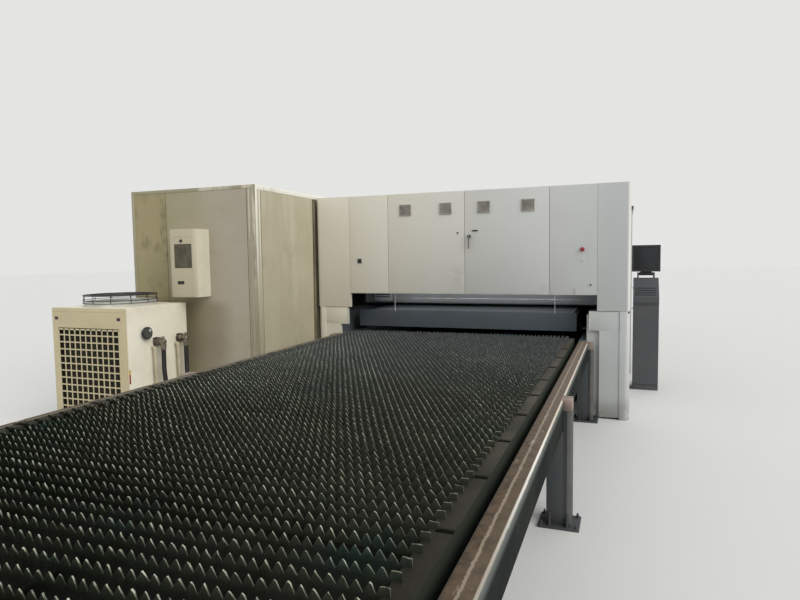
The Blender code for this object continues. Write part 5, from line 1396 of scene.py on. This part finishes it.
def build_chiller(settings):
    """The chiller's casing with its grille, handle slots, fan ring, feet and ports."""
    lo, hi = CHILLER_LOW, CHILLER_HIGH
    grille_low, grille_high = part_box("chiller_grille")
    left, right, bottom, top = grille_low.x, grille_high.x, grille_low.z, grille_high.z
    casing = block(lo, hi, 0.004, 3)
    cut(casing, block((left - 0.0006, lo.y - 0.01, bottom - 0.0006),
                      (right + 0.0006, lo.y + 0.04, top + 0.0006)))
    cut(casing, drum(FAN_CENTRE, "Z", [(0.33, -0.1), (0.33, 0.05)], 64))
    parts = tinted([casing], "chiller_paint")
    parts += boxed("soft_seam", (lo.x + 0.012, lo.y - 0.0003, 1.2416),
                   (hi.x - 0.003, lo.y + 0.0002, 1.243))
    # Painted shade behind the grille, on the sides of its opening and at the bottom of the fan's
    # well
    parts += boxed("duct_shade", (left, lo.y + 0.036, bottom), (right, lo.y + 0.039, top))
    for x in (left - 0.0004, right - 0.0002):
        parts += boxed("duct_shade", (x, lo.y + 0.004, bottom), (x + 0.0008, lo.y + 0.039, top))
    parts += turned("duct_shade", FAN_CENTRE, "Z", [(0.3298, -0.0995), (0.3298, -0.098)], 48)
    parts += turned("white_ring", FAN_CENTRE, "Z",
                    [(0.342, -0.002), (0.342, 0.046), (0.338, 0.05), (0.334, 0.05), (0.33, 0.046),
                     (0.33, -0.002)], 64)
    for x in (spot(-3.505, 0, 0).x, spot(-2.716, 0, 0).x):
        parts += boxed("black_plastic", (x - 0.021, lo.y - 0.0015, 1.163),
                       (x + 0.021, lo.y + 0.004, 1.192), 0.001)
    for x in (lo.x + 0.02, hi.x - 0.11):
        for y in (lo.y + 0.02, hi.y - 0.11):
            parts += turned("black_plastic", (x + 0.045, y + 0.045, 0), "Z",
                            [(0.042, 0), (0.045, 0.004), (0.045, 0.012), (0.02, 0.018),
                             (0.014, 0.02), (0.014, 0.075)])
    gathered("chiller_casing", parts + chiller_ports(), MACHINE, ["chiller_body"])
    grille = lattice((left, grille_low.y, bottom), (right, grille_low.y, top),
                     settings.grille_columns, settings.grille_rows, settings.grille_bar, 0.003)
    head = block((left, grille_low.y, top - 0.022), (right, grille_low.y + 0.003, top))
    dress(joined("chiller_lattice", [grille, head]), "chiller_paint", MACHINE,
          ["chiller_grille"])
    build_fan(FAN_CENTRE)
    build_valve_levers()


def chiller_ports():
    """Two port pipes with elbows and union nuts, the gauge with a painted reflection, and the
    level stick.
    """
    parts = []
    flange = [(0.048, -0.002), (0.048, 0.006), (0.031, 0.008), (0.031, 0.03)]
    nut = [(0.038, 0), (0.04, 0.003), (0.04, 0.022), (0.038, 0.025)]
    pipe = [(0.028, 0), (0.028, 0.04), (0.026, 0.056), (0.018, 0.063)]
    elbow = [(0.0265, -0.0797), (0.0265, -0.05), (0.031, -0.048), (0.031, -0.03), (0.027, -0.028),
             (0.027, 0.018), (0.018, 0.024), (0.0135, 0.03), (0.0135, 0.045)]
    side_pipe = [(-0.002, -0.062, -0.05), (0.03, -0.062, -0.05), (0.04, -0.062, -0.06),
                 (0.04, -0.05, -0.5), (0.03, -0.05, -0.51), (-0.002, -0.05, -0.51)]
    for along in (-1.832, -1.504):
        at = spot(-2.643, along, 0.92)
        for out, axis, steps, sides in ((0, "X", flange, 32), (0.03, "X", nut, 8),
                                        (0.055, "X", pipe, 28), (0.09, "Z", elbow, 28)):
            parts += turned("port_steel", at + Vector((out, 0, 0)), axis, steps, sides)
        parts += tinted([bar([at + Vector(bend) for bend in side_pipe], 0.018)], "beige_pipe")
    at = spot(-2.643, -1.982, 1.024)
    parts += turned("black_plastic", at, "X", [(0.04, -0.002), (0.04, 0.02), (0.058, 0.022),
                                               (0.061, 0.026), (0.061, 0.044), (0.057, 0.048),
                                               (0.052, 0.048)], 40)
    parts += turned("gauge_face", at + Vector((0.0465, 0, 0)), "X",
                    [(0.052, 0), (0.052, 0.002)], 32)
    # Painted reflection: a small white disc at the top right of the gauge's face
    parts += turned("white_ring", at + Vector((0.0475, 0.026, 0.026)), "X",
                    [(0.014, 0), (0.014, 0.0018)], 16)
    at = spot(-2.643, -2.188, 0)
    for finish, bottom, top in (("red_plastic", 0.56, 0.65), ("yellow_paint", 0.65, 0.695)):
        parts += boxed(finish, (at.x - 0.001, at.y - 0.008, bottom),
                       (at.x + 0.003, at.y + 0.008, top), 0.001)
    return parts


def spun(piece, centre, count):
    """Copies of a piece round an upright axis, in place of the piece itself."""
    turns = [Matrix.Translation(centre) @ Matrix.Rotation(math.tau * i / count, 4, "Z")
             @ Matrix.Translation(-centre) for i in range(count)]
    copies = [copied(piece, turn) for turn in turns]
    bpy.data.objects.remove(piece, do_unlink=True)
    return copies


def build_fan(centre):
    """The fan's wire guard and its bladed rotor."""
    low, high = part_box("fan_guard")
    x, y, top = centre.x, centre.y, high.z - 0.004
    wires = [ring((x, y, z), 0.35, wire, 64)
             for z, wire in ((top, 0.004), (low.z + 0.0301, 0.003), (low.z + 0.0032, 0.003))]
    wires += [ring((x, y, top), radius, 0.0025, 56, 6)
              for radius in (0.31, 0.27, 0.23, 0.19, 0.15, 0.11, 0.07)]
    wires += [drum((x, y, top), "Z", [(0.038, -0.004), (0.04, 0.0), (0.036, 0.0038)], 28)]
    spoke = bar([(x + 0.03, y, top), (x + 0.34, y, top), (x + 0.35, y, top - 0.01),
                 (x + 0.35, y, low.z + 0.001)], 0.0035, 2)
    wires += spun(spoke, centre, 12)
    gathered("fan_cage", tinted(wires, "black_wire"), MACHINE, ["fan_guard"])
    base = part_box("fan_rotor")[0].z
    hub = drum((x, y, base), "Z", [(0.088, 0), (0.09, 0.003), (0.09, 0.062), (0.08, 0.074),
                                   (0.06, 0.08)], 40)
    blade = block((x + 0.06, y - 0.05, base + 0.037), (x + 0.28, y + 0.05, base + 0.043))
    with editing(blade):
        bpy.ops.mesh.select_all(action="SELECT")
        bpy.ops.mesh.subdivide(number_cuts=3)
        pick(blade, bmesh.from_edit_mesh(blade.data), verts=lambda v: v.co.x > x + 0.17)
        bpy.ops.transform.resize(value=(1, 1.4, 1), center_override=(x, y, base))
        bpy.ops.mesh.select_all(action="SELECT")
        bpy.ops.transform.rotate(value=math.radians(28), orient_axis="X",
                                 center_override=(x, y, base + 0.04))
    gathered("fan_bladed", tinted([hub, *spun(blade, centre, 5)], "black_plastic"), "fan_rotor",
             ["fan_rotor"])


def build_valve_levers():
    """A lever on each port: a hub, a steel neck and a black grip."""
    for node in ("valve_lever_1", "valve_lever_2"):
        low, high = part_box(node)
        x, y, z = (low.x + high.x) / 2, high.y - 0.016, low.z
        hub = drum((x, y, z), "Z", [(0.015, 0), (0.016, 0.002), (0.016, 0.01), (0.01, 0.012)], 20)
        neck = block((x - 0.008, low.y + 0.06, z + 0.002), (x + 0.008, y, z + 0.009), 0.002)
        grip = block((x - 0.0155, low.y, z), (x + 0.0155, low.y + 0.075, high.z), 0.0055, 4)
        with editing(grip) as shape:
            pick(grip, shape, verts=lambda v: v.co.y > low.y + 0.06)
            bpy.ops.transform.resize(value=(0.66, 1, 0.8),
                                     center_override=(x, y, (z + high.z) / 2))
        parts = tinted([hub, neck], "bright_steel") + tinted([grip], "black_plastic")
        gathered(f"{node}_bent", parts, node, [node])


def smooth_route(points, count):
    """Points spread along a smooth curve through the chosen ones."""
    places = [Vector(point) for point in points]
    places = [places[0] * 2 - places[1], *places, places[-1] * 2 - places[-2]]
    spans = len(places) - 3
    route = []
    for step in range(count):
        at = spans * step / (count - 1)
        span = min(int(at), spans - 1)
        t = at - span
        a, b, c, d = places[span:span + 4]
        route.append(0.5 * (2 * b + (c - a) * t + (2 * a - 5 * b + 4 * c - d) * t ** 2
                            + (3 * b - a - 3 * c + d) * t ** 3))
    return route


# The hoses' outer radius, the plane of the ports and the places of their ends
HOSE_RADIUS = 0.0225
ACROSS = -2.553
PORT_BOTTOM = 0.8397
GLAND_FACE = -1.2843
HOSE_ROUTES = {
    "hose_supply": [(ACROSS, -1.832, PORT_BOTTOM), (ACROSS, -1.832, PORT_BOTTOM - 0.1),
                    (ACROSS, -1.832, PORT_BOTTOM - 0.2), (ACROSS + 0.015, -1.827, 0.5),
                    (ACROSS + 0.05, -1.802, 0.33), (ACROSS + 0.12, -1.752, 0.17),
                    (ACROSS + 0.22, -1.672, 0.07), (-2.23, -1.562, 0.05),
                    (-2.185, GLAND_FACE - 0.16, 0.075), (-2.18, GLAND_FACE - 0.08, 0.1),
                    (-2.18, GLAND_FACE - 0.04, 0.1), (-2.18, GLAND_FACE, 0.1)],
    "hose_return": [(ACROSS, -1.504, PORT_BOTTOM), (ACROSS, -1.504, PORT_BOTTOM - 0.1),
                    (ACROSS, -1.504, PORT_BOTTOM - 0.2), (ACROSS + 0.02, -1.524, 0.5),
                    (ACROSS + 0.06, -1.574, 0.33), (ACROSS + 0.1, -1.614, 0.19),
                    (-2.45, -1.604, 0.08), (-2.425, -1.514, 0.055),
                    (-2.42, GLAND_FACE - 0.1, 0.085), (-2.42, GLAND_FACE - 0.05, 0.1),
                    (-2.42, GLAND_FACE - 0.025, 0.1), (-2.42, GLAND_FACE, 0.1)],
}


def build_hoses():
    """Two water hoses from the chiller's ports to the glands in the room's wall."""
    for name, points in HOSE_ROUTES.items():
        route = [spot(*point) for point in smooth_route(points, 72)]
        hose = line(route, HOSE_RADIUS, f"{name}_rubber", 4)
        dress(hose, "hose_rubber", MACHINE, [name])


def build_console():
    """The console's screen glass and the keys on its slanted desk."""
    low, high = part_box("console_screen")
    glass = block((low.x + 0.03, low.y + 0.0045, high.z - 0.34 + 0.03),
                  (high.x - 0.03, low.y + 0.006, high.z - 0.03), 0.001)
    dress(glass, "screen_glass", "console_screen", name="console_screen_glass")
    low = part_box("console_cabinet")[0]
    keys = []
    for i in range(10):
        for j in range(4):
            x = low.x + 0.035 + 0.0245 * i
            y = low.y + 0.03 + 0.026 * j
            z = 1.18 + (y - low.y) * 0.24 / (0.34 - 0.113)
            keys.append(block((x - 0.009, y - 0.009, z - 0.002), (x + 0.009, y + 0.009, z + 0.006),
                              0.0015))
    gathered("console_keys", tinted(keys, "black_plastic"), MACHINE)


def dress_nodes():
    """Give the frame's own nodes that stay in sight their finishes."""
    finishes = {
        "lower_track_left": "track_steel", "lower_track_right": "track_steel",
        "side_door_rail": "track_steel", "side_door_window": "window_glass",
        "bed_side_left": "bed_paint", "bed_side_right": "bed_paint",
        "bed_cross_front": "bed_paint", "bed_cross_rear": "bed_paint",
        "cabinet_shell": "enclosure_paint", "room_shell": "room_panel", "room_door": "room_panel",
        "laser_source": "source_paint", "console_cabinet": "console_paint",
        "console_screen": "black_plastic",
    }
    for node, finish in finishes.items():
        for material_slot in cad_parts[node].material_slots:
            material_slot.material = FINISHES[finish]


# Camera, light and floor


def aimed(yaw, pitch, roll):
    """A camera's turn: yaw to the left of +Y, pitch down, and roll."""
    level = Vector((-math.sin(yaw), math.cos(yaw), 0)) * math.cos(pitch)
    forward = level - Vector((0, 0, math.sin(pitch)))
    right = Vector((math.cos(yaw), math.sin(yaw), 0))
    up = right.cross(forward)
    across = right * math.cos(roll) - up * math.sin(roll)
    rise = right * math.sin(roll) + up * math.cos(roll)
    return Matrix((across, rise, -forward)).transposed()


def place_camera(settings):
    """The camera at the photograph's place and angle."""
    data = bpy.data.cameras.new("camera")
    data.lens = settings.lens
    data.sensor_width = 36.0
    data.clip_start, data.clip_end = 0.05, 200.0
    camera = bpy.data.objects.new("camera", data)
    camera.matrix_world = (Matrix.Translation(settings.camera_place)
                           @ aimed(*[math.radians(a) for a in settings.camera_turn]).to_4x4())
    bpy.context.scene.camera = linked(camera)


def lamp(name, direction, strength, angle, colour=(1, 1, 1)):
    """A soft light from far away, along a direction."""
    data = bpy.data.lights.new(name, "SUN")
    data.energy = strength
    data.angle = math.radians(angle)
    data.color = colour
    item = bpy.data.objects.new(name, data)
    item.rotation_mode = "QUATERNION"
    item.rotation_quaternion = Vector(direction).to_track_quat("Z", "Y")
    linked(item)


def work_light(power):
    """A long lamp under the cabinets that looks into the enclosure."""
    data = bpy.data.lights.new("work_light", "AREA")
    data.shape = "RECTANGLE"
    data.size, data.size_y = 2.3, 0.12
    data.energy = power
    item = bpy.data.objects.new("work_light", data)
    item.location = (MIDDLE_X, FRONT_Y + 0.3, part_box("cabinet_shell")[0].z - 0.012)
    item.rotation_euler = (math.radians(50), 0, 0)
    linked(item)


def set_stage(settings):
    """Pale floor, soft lamps and a pale world."""
    bpy.ops.object.select_all(action="DESELECT")
    bpy.ops.mesh.primitive_plane_add(size=160, location=(0, 0, 0))
    floor = new_piece("floor")
    stone = Finish("floor_paint", roughness=0.9)
    stone.set(Base_Color=stone.mix(stone.noise(0.4, 3.0) * 0.1, (*settings.floor, 1.0),
                                   shade(214, 212, 206)))
    floor.data.materials.append(stone.material)
    lamp("key", (0.82, -0.45, 0.6), settings.key, 45, (1.0, 0.985, 0.95))
    lamp("fill", (-0.55, -0.6, 0.7), settings.fill, 80)
    lamp("rear", (0.2, 0.85, 0.7), settings.rear, 80)
    work_light(settings.work_light)
    world = bpy.data.worlds.new("world")
    bpy.context.scene.world = world
    world.use_nodes = True
    nodes, links = world.node_tree.nodes, world.node_tree.links
    nodes.clear()
    path = nodes.new("ShaderNodeLightPath")
    soft = nodes.new("ShaderNodeBackground")
    soft.inputs["Color"].default_value = (0.93, 0.97, 1.0, 1.0)
    soft.inputs["Strength"].default_value = settings.sky
    pale = nodes.new("ShaderNodeBackground")
    pale.inputs["Color"].default_value = (*settings.backdrop, 1.0)
    mixed = nodes.new("ShaderNodeMixShader")
    output = nodes.new("ShaderNodeOutputWorld")
    seen = path.outputs["Is Camera Ray"]
    for ray in ("Is Glossy Ray", "Is Transmission Ray"):
        either = nodes.new("ShaderNodeMath")
        either.operation = "MAXIMUM"
        links.new(seen, either.inputs[0])
        links.new(path.outputs[ray], either.inputs[1])
        seen = either.outputs[0]
    links.new(seen, mixed.inputs[0])
    links.new(soft.outputs[0], mixed.inputs[1])
    links.new(pale.outputs[0], mixed.inputs[2])
    links.new(mixed.outputs[0], output.inputs[0])
    bpy.context.scene.view_settings.view_transform = "Standard"


# Settings, operators and panel


def length(name, description, default):
    return FloatProperty(name=name, description=description, default=default, subtype="DISTANCE",
                         unit="LENGTH", precision=4)


def colour_of(name, description, default):
    return FloatVectorProperty(name=name, description=description, default=default,
                               subtype="COLOR", size=3, min=0, max=1)


class PalletSettings(bpy.types.PropertyGroup):
    """Slats, their teeth and the rails under the pallets."""

    slat_pitch: length("Slat pitch", "Distance from one slat to the next", 0.081)
    slat_height: length("Slat height", "From a slat's lower edge to its tips", 0.1)
    slat_thickness: length("Slat thickness", "Thickness of the slat sheet", 0.005)
    slat_inset: length("Slat inset", "From the pallet's side to the slat's end", 0.0565)
    tooth_pitch: length("Tooth pitch", "Distance from one tip to the next", 0.0403)
    tooth_height: length("Tooth height", "From a valley to a tip", 0.029)
    slat_bend: length("Slat bend", "How far heat has bent the slats", 0.03)
    tip_wear: length("Tip wear", "How far slag has shifted the tips", 0.012)
    frame_drop: length("Frame drop", "From the tips down to the frame's top", 0.032)
    beam_width: length("Beam width", "Width of the frame's beams", 0.085)
    stop_pitch: length("Stop pitch", "Distance between the stops on the side beams", 0.5)
    end_plate_bottom: length("End plate bottom", "Height of the end plate over the floor", 0.883)
    rail_radius: length("Rail radius", "Rounding of the rail beams' edges", 0.013)


class EnclosureSettings(bpy.types.PropertyGroup):
    """Front, walls and doors of the enclosure."""

    paint: colour_of("Paint", "Colour of the clean powder coat", shade(206, 207, 203)[:3])
    corner_radius: length("Corner radius", "Rounding of the outer front corners", 0.055)
    column_bottom: length("Column bottom", "Height of the column heads' underside", 1.138)
    skirt_inner: length("Skirt inner", "From the middle to the inner edge of the skirts", 1.389)
    vent_size: length("Vent size", "Side of a filter vent", 0.142)
    vent_top: length("Vent top", "Height of the vents' upper edge", 2.331)
    socket: FloatVectorProperty(name="Socket", description="Place of the socket on the first door",
                                default=(-1.224, 1.69), size=2, unit="LENGTH")
    rods: FloatVectorProperty(name="Rods", description="Places of the two hanging rods",
                              default=(-0.783, 1.041), size=2, unit="LENGTH")


class RoomSettings(bpy.types.PropertyGroup):
    """The laser source's room and its wall unit."""

    panel: colour_of("Panel", "Colour of the clean panels", shade(192, 184, 158)[:3])
    trim_width: length("Trim width", "Width of the aluminium angles", 0.036)


class ChillerSettings(bpy.types.PropertyGroup):
    """The water chiller."""

    grille_columns: IntProperty(name="Columns", description="Holes across the grille", default=11)
    grille_rows: IntProperty(name="Rows", description="Holes up the grille", default=13)
    grille_bar: length("Grille bar", "Width of the bars between the holes", 0.0125)


class StageSettings(bpy.types.PropertyGroup):
    """Camera, lamps, floor and world."""

    camera_place: FloatVectorProperty(name="Camera place", description="Where the camera stands",
                                      default=(2.4485, -7.369, 1.72), size=3, unit="LENGTH")
    camera_turn: FloatVectorProperty(name="Camera turn", default=(20.519, 3.986, 0.809), size=3,
                                     description="Yaw, pitch and roll in degrees")
    lens: FloatProperty(name="Lens", description="Focal length in millimetres", default=27.198)
    key: FloatProperty(name="Key", description="Strength of the lamp on the right", default=1.7)
    fill: FloatProperty(name="Fill", description="Strength of the lamp on the left", default=0.35)
    rear: FloatProperty(name="Rear", description="Strength of the lamp behind", default=0.4)
    work_light: FloatProperty(name="Work light", description="Power of the lamp in the doorway",
                              default=4.0)
    sky: FloatProperty(name="Sky", description="Strength of the light from all round", default=0.5)
    floor: colour_of("Floor", "Colour of the floor", (0.8, 0.79, 0.77))
    backdrop: colour_of("Backdrop", "Colour of the backdrop", (0.78, 0.78, 0.77))


class CUTTER_OT_camera(bpy.types.Operator):
    """Place the camera"""

    bl_idname = "cutter.camera"
    bl_label = "Place Camera"

    def execute(self, context):
        place_camera(context.scene.cutter_stage)
        return {"FINISHED"}


class CUTTER_OT_finishes(bpy.types.Operator):
    """Make the materials"""

    bl_idname = "cutter.finishes"
    bl_label = "Mix Finishes"

    def execute(self, context):
        mix_finishes(context.scene)
        return {"FINISHED"}


class CUTTER_OT_hoses(bpy.types.Operator):
    """Build the two water hoses"""

    bl_idname = "cutter.hoses"
    bl_label = "Build Hoses"

    def execute(self, context):
        build_hoses()
        return {"FINISHED"}


class CUTTER_OT_nodes(bpy.types.Operator):
    """Give the frame's nodes in sight their finishes"""

    bl_idname = "cutter.nodes"
    bl_label = "Dress Frame"

    def execute(self, context):
        dress_nodes()
        return {"FINISHED"}


class CUTTER_OT_lower_pallet(bpy.types.Operator):
    """Build the pallet outside"""

    bl_idname = "cutter.lower_pallet"
    bl_label = "Build Lower Pallet"

    def execute(self, context):
        build_lower_pallet(context.scene.cutter_pallet)
        return {"FINISHED"}


class CUTTER_OT_upper_pallet(bpy.types.Operator):
    """Build the pallet inside"""

    bl_idname = "cutter.upper_pallet"
    bl_label = "Build Upper Pallet"

    def execute(self, context):
        build_upper_pallet(context.scene.cutter_pallet)
        return {"FINISHED"}


class CUTTER_OT_wheels(bpy.types.Operator):
    """Build the pallets' wheels and the chain shaft"""

    bl_idname = "cutter.wheels"
    bl_label = "Build Wheels"

    def execute(self, context):
        build_wheels()
        return {"FINISHED"}


class CUTTER_OT_rails(bpy.types.Operator):
    """Build the rail beams and their posts"""

    bl_idname = "cutter.rails"
    bl_label = "Build Rails"

    def execute(self, context):
        build_rails(context.scene.cutter_pallet)
        return {"FINISHED"}


class CUTTER_OT_bed(bpy.types.Operator):
    """Build the bed's end plates, guides and racks"""

    bl_idname = "cutter.bed"
    bl_label = "Build Bed Details"

    def execute(self, context):
        build_bed()
        return {"FINISHED"}


class CUTTER_OT_walls(bpy.types.Operator):
    """Build the walls and the roof"""

    bl_idname = "cutter.walls"
    bl_label = "Build Walls"

    def execute(self, context):
        build_walls()
        return {"FINISHED"}


class CUTTER_OT_front(bpy.types.Operator):
    """Build the columns and the doorway's lip"""

    bl_idname = "cutter.front"
    bl_label = "Build Front"

    def execute(self, context):
        build_front(context.scene.cutter_enclosure)
        return {"FINISHED"}


class CUTTER_OT_doors(bpy.types.Operator):
    """Build the cabinet doors, the handle and the button"""

    bl_idname = "cutter.doors"
    bl_label = "Build Doors"

    def execute(self, context):
        build_doors(context.scene.cutter_enclosure)
        return {"FINISHED"}


class CUTTER_OT_cabinets(bpy.types.Operator):
    """Build the modules in the cabinets"""

    bl_idname = "cutter.cabinets"
    bl_label = "Build Cabinets"

    def execute(self, context):
        build_cabinets()
        return {"FINISHED"}


class CUTTER_OT_gantry(bpy.types.Operator):
    """Build the gantry, its carriage and the head"""

    bl_idname = "cutter.gantry"
    bl_label = "Build Gantry"

    def execute(self, context):
        build_gantry()
        return {"FINISHED"}


class CUTTER_OT_side_door(bpy.types.Operator):
    """Build the service door"""

    bl_idname = "cutter.side_door"
    bl_label = "Build Side Door"

    def execute(self, context):
        build_side_door()
        return {"FINISHED"}


class CUTTER_OT_room(bpy.types.Operator):
    """Build the room's trims and its door's handle"""

    bl_idname = "cutter.room"
    bl_label = "Build Room"

    def execute(self, context):
        build_room(context.scene.cutter_room)
        return {"FINISHED"}


class CUTTER_OT_cooler(bpy.types.Operator):
    """Build the wall unit"""

    bl_idname = "cutter.cooler"
    bl_label = "Build Wall Unit"

    def execute(self, context):
        build_cooler()
        return {"FINISHED"}


class CUTTER_OT_chiller(bpy.types.Operator):
    """Build the chiller, its fan and its levers"""

    bl_idname = "cutter.chiller"
    bl_label = "Build Chiller"

    def execute(self, context):
        build_chiller(context.scene.cutter_chiller)
        return {"FINISHED"}


class CUTTER_OT_console(bpy.types.Operator):
    """Build the console's screen and keys"""

    bl_idname = "cutter.console"
    bl_label = "Build Console"

    def execute(self, context):
        build_console()
        return {"FINISHED"}


class CUTTER_OT_stage(bpy.types.Operator):
    """Set the floor, the lamps and the world"""

    bl_idname = "cutter.stage"
    bl_label = "Set Stage"

    def execute(self, context):
        set_stage(context.scene.cutter_stage)
        return {"FINISHED"}


# In the order in which they run
STEPS = [
    CUTTER_OT_camera, CUTTER_OT_finishes, CUTTER_OT_hoses, CUTTER_OT_nodes, CUTTER_OT_lower_pallet,
    CUTTER_OT_upper_pallet, CUTTER_OT_wheels, CUTTER_OT_rails, CUTTER_OT_bed, CUTTER_OT_walls,
    CUTTER_OT_front, CUTTER_OT_doors, CUTTER_OT_cabinets, CUTTER_OT_gantry, CUTTER_OT_side_door,
    CUTTER_OT_room, CUTTER_OT_cooler, CUTTER_OT_chiller, CUTTER_OT_console, CUTTER_OT_stage,
]


class CUTTER_PT_panel(bpy.types.Panel):
    """Lists the building steps and their settings"""

    bl_idname = "CUTTER_PT_panel"
    bl_label = "Laser Cutter"
    bl_space_type = "VIEW_3D"
    bl_region_type = "UI"
    bl_category = "Laser Cutter"

    def draw(self, context):
        for step in STEPS:
            self.layout.operator(step.bl_idname)
        for word in GROUPS:
            group = getattr(context.scene, f"cutter_{word}")
            box = self.layout.box()
            for name in group.__annotations__:
                box.prop(group, name)


GROUPS = {"pallet": PalletSettings, "enclosure": EnclosureSettings, "room": RoomSettings,
          "chiller": ChillerSettings, "stage": StageSettings}


def register():
    for group in GROUPS.values():
        bpy.utils.register_class(group)
    for step in STEPS:
        bpy.utils.register_class(step)
    bpy.utils.register_class(CUTTER_PT_panel)
    for word, group in GROUPS.items():
        setattr(bpy.types.Scene, f"cutter_{word}", PointerProperty(type=group))


def unregister():
    for word in GROUPS:
        delattr(bpy.types.Scene, f"cutter_{word}")
    bpy.utils.unregister_class(CUTTER_PT_panel)
    for step in reversed(STEPS):
        bpy.utils.unregister_class(step)
    for group in reversed(GROUPS.values()):
        bpy.utils.unregister_class(group)


def main():
    """Build everything in order."""
    register()
    for step in STEPS:
        getattr(bpy.ops.cutter, step.bl_idname.split(".")[1])()
    bpy.context.view_layer.update()


if __name__ == "__main__":
    main()
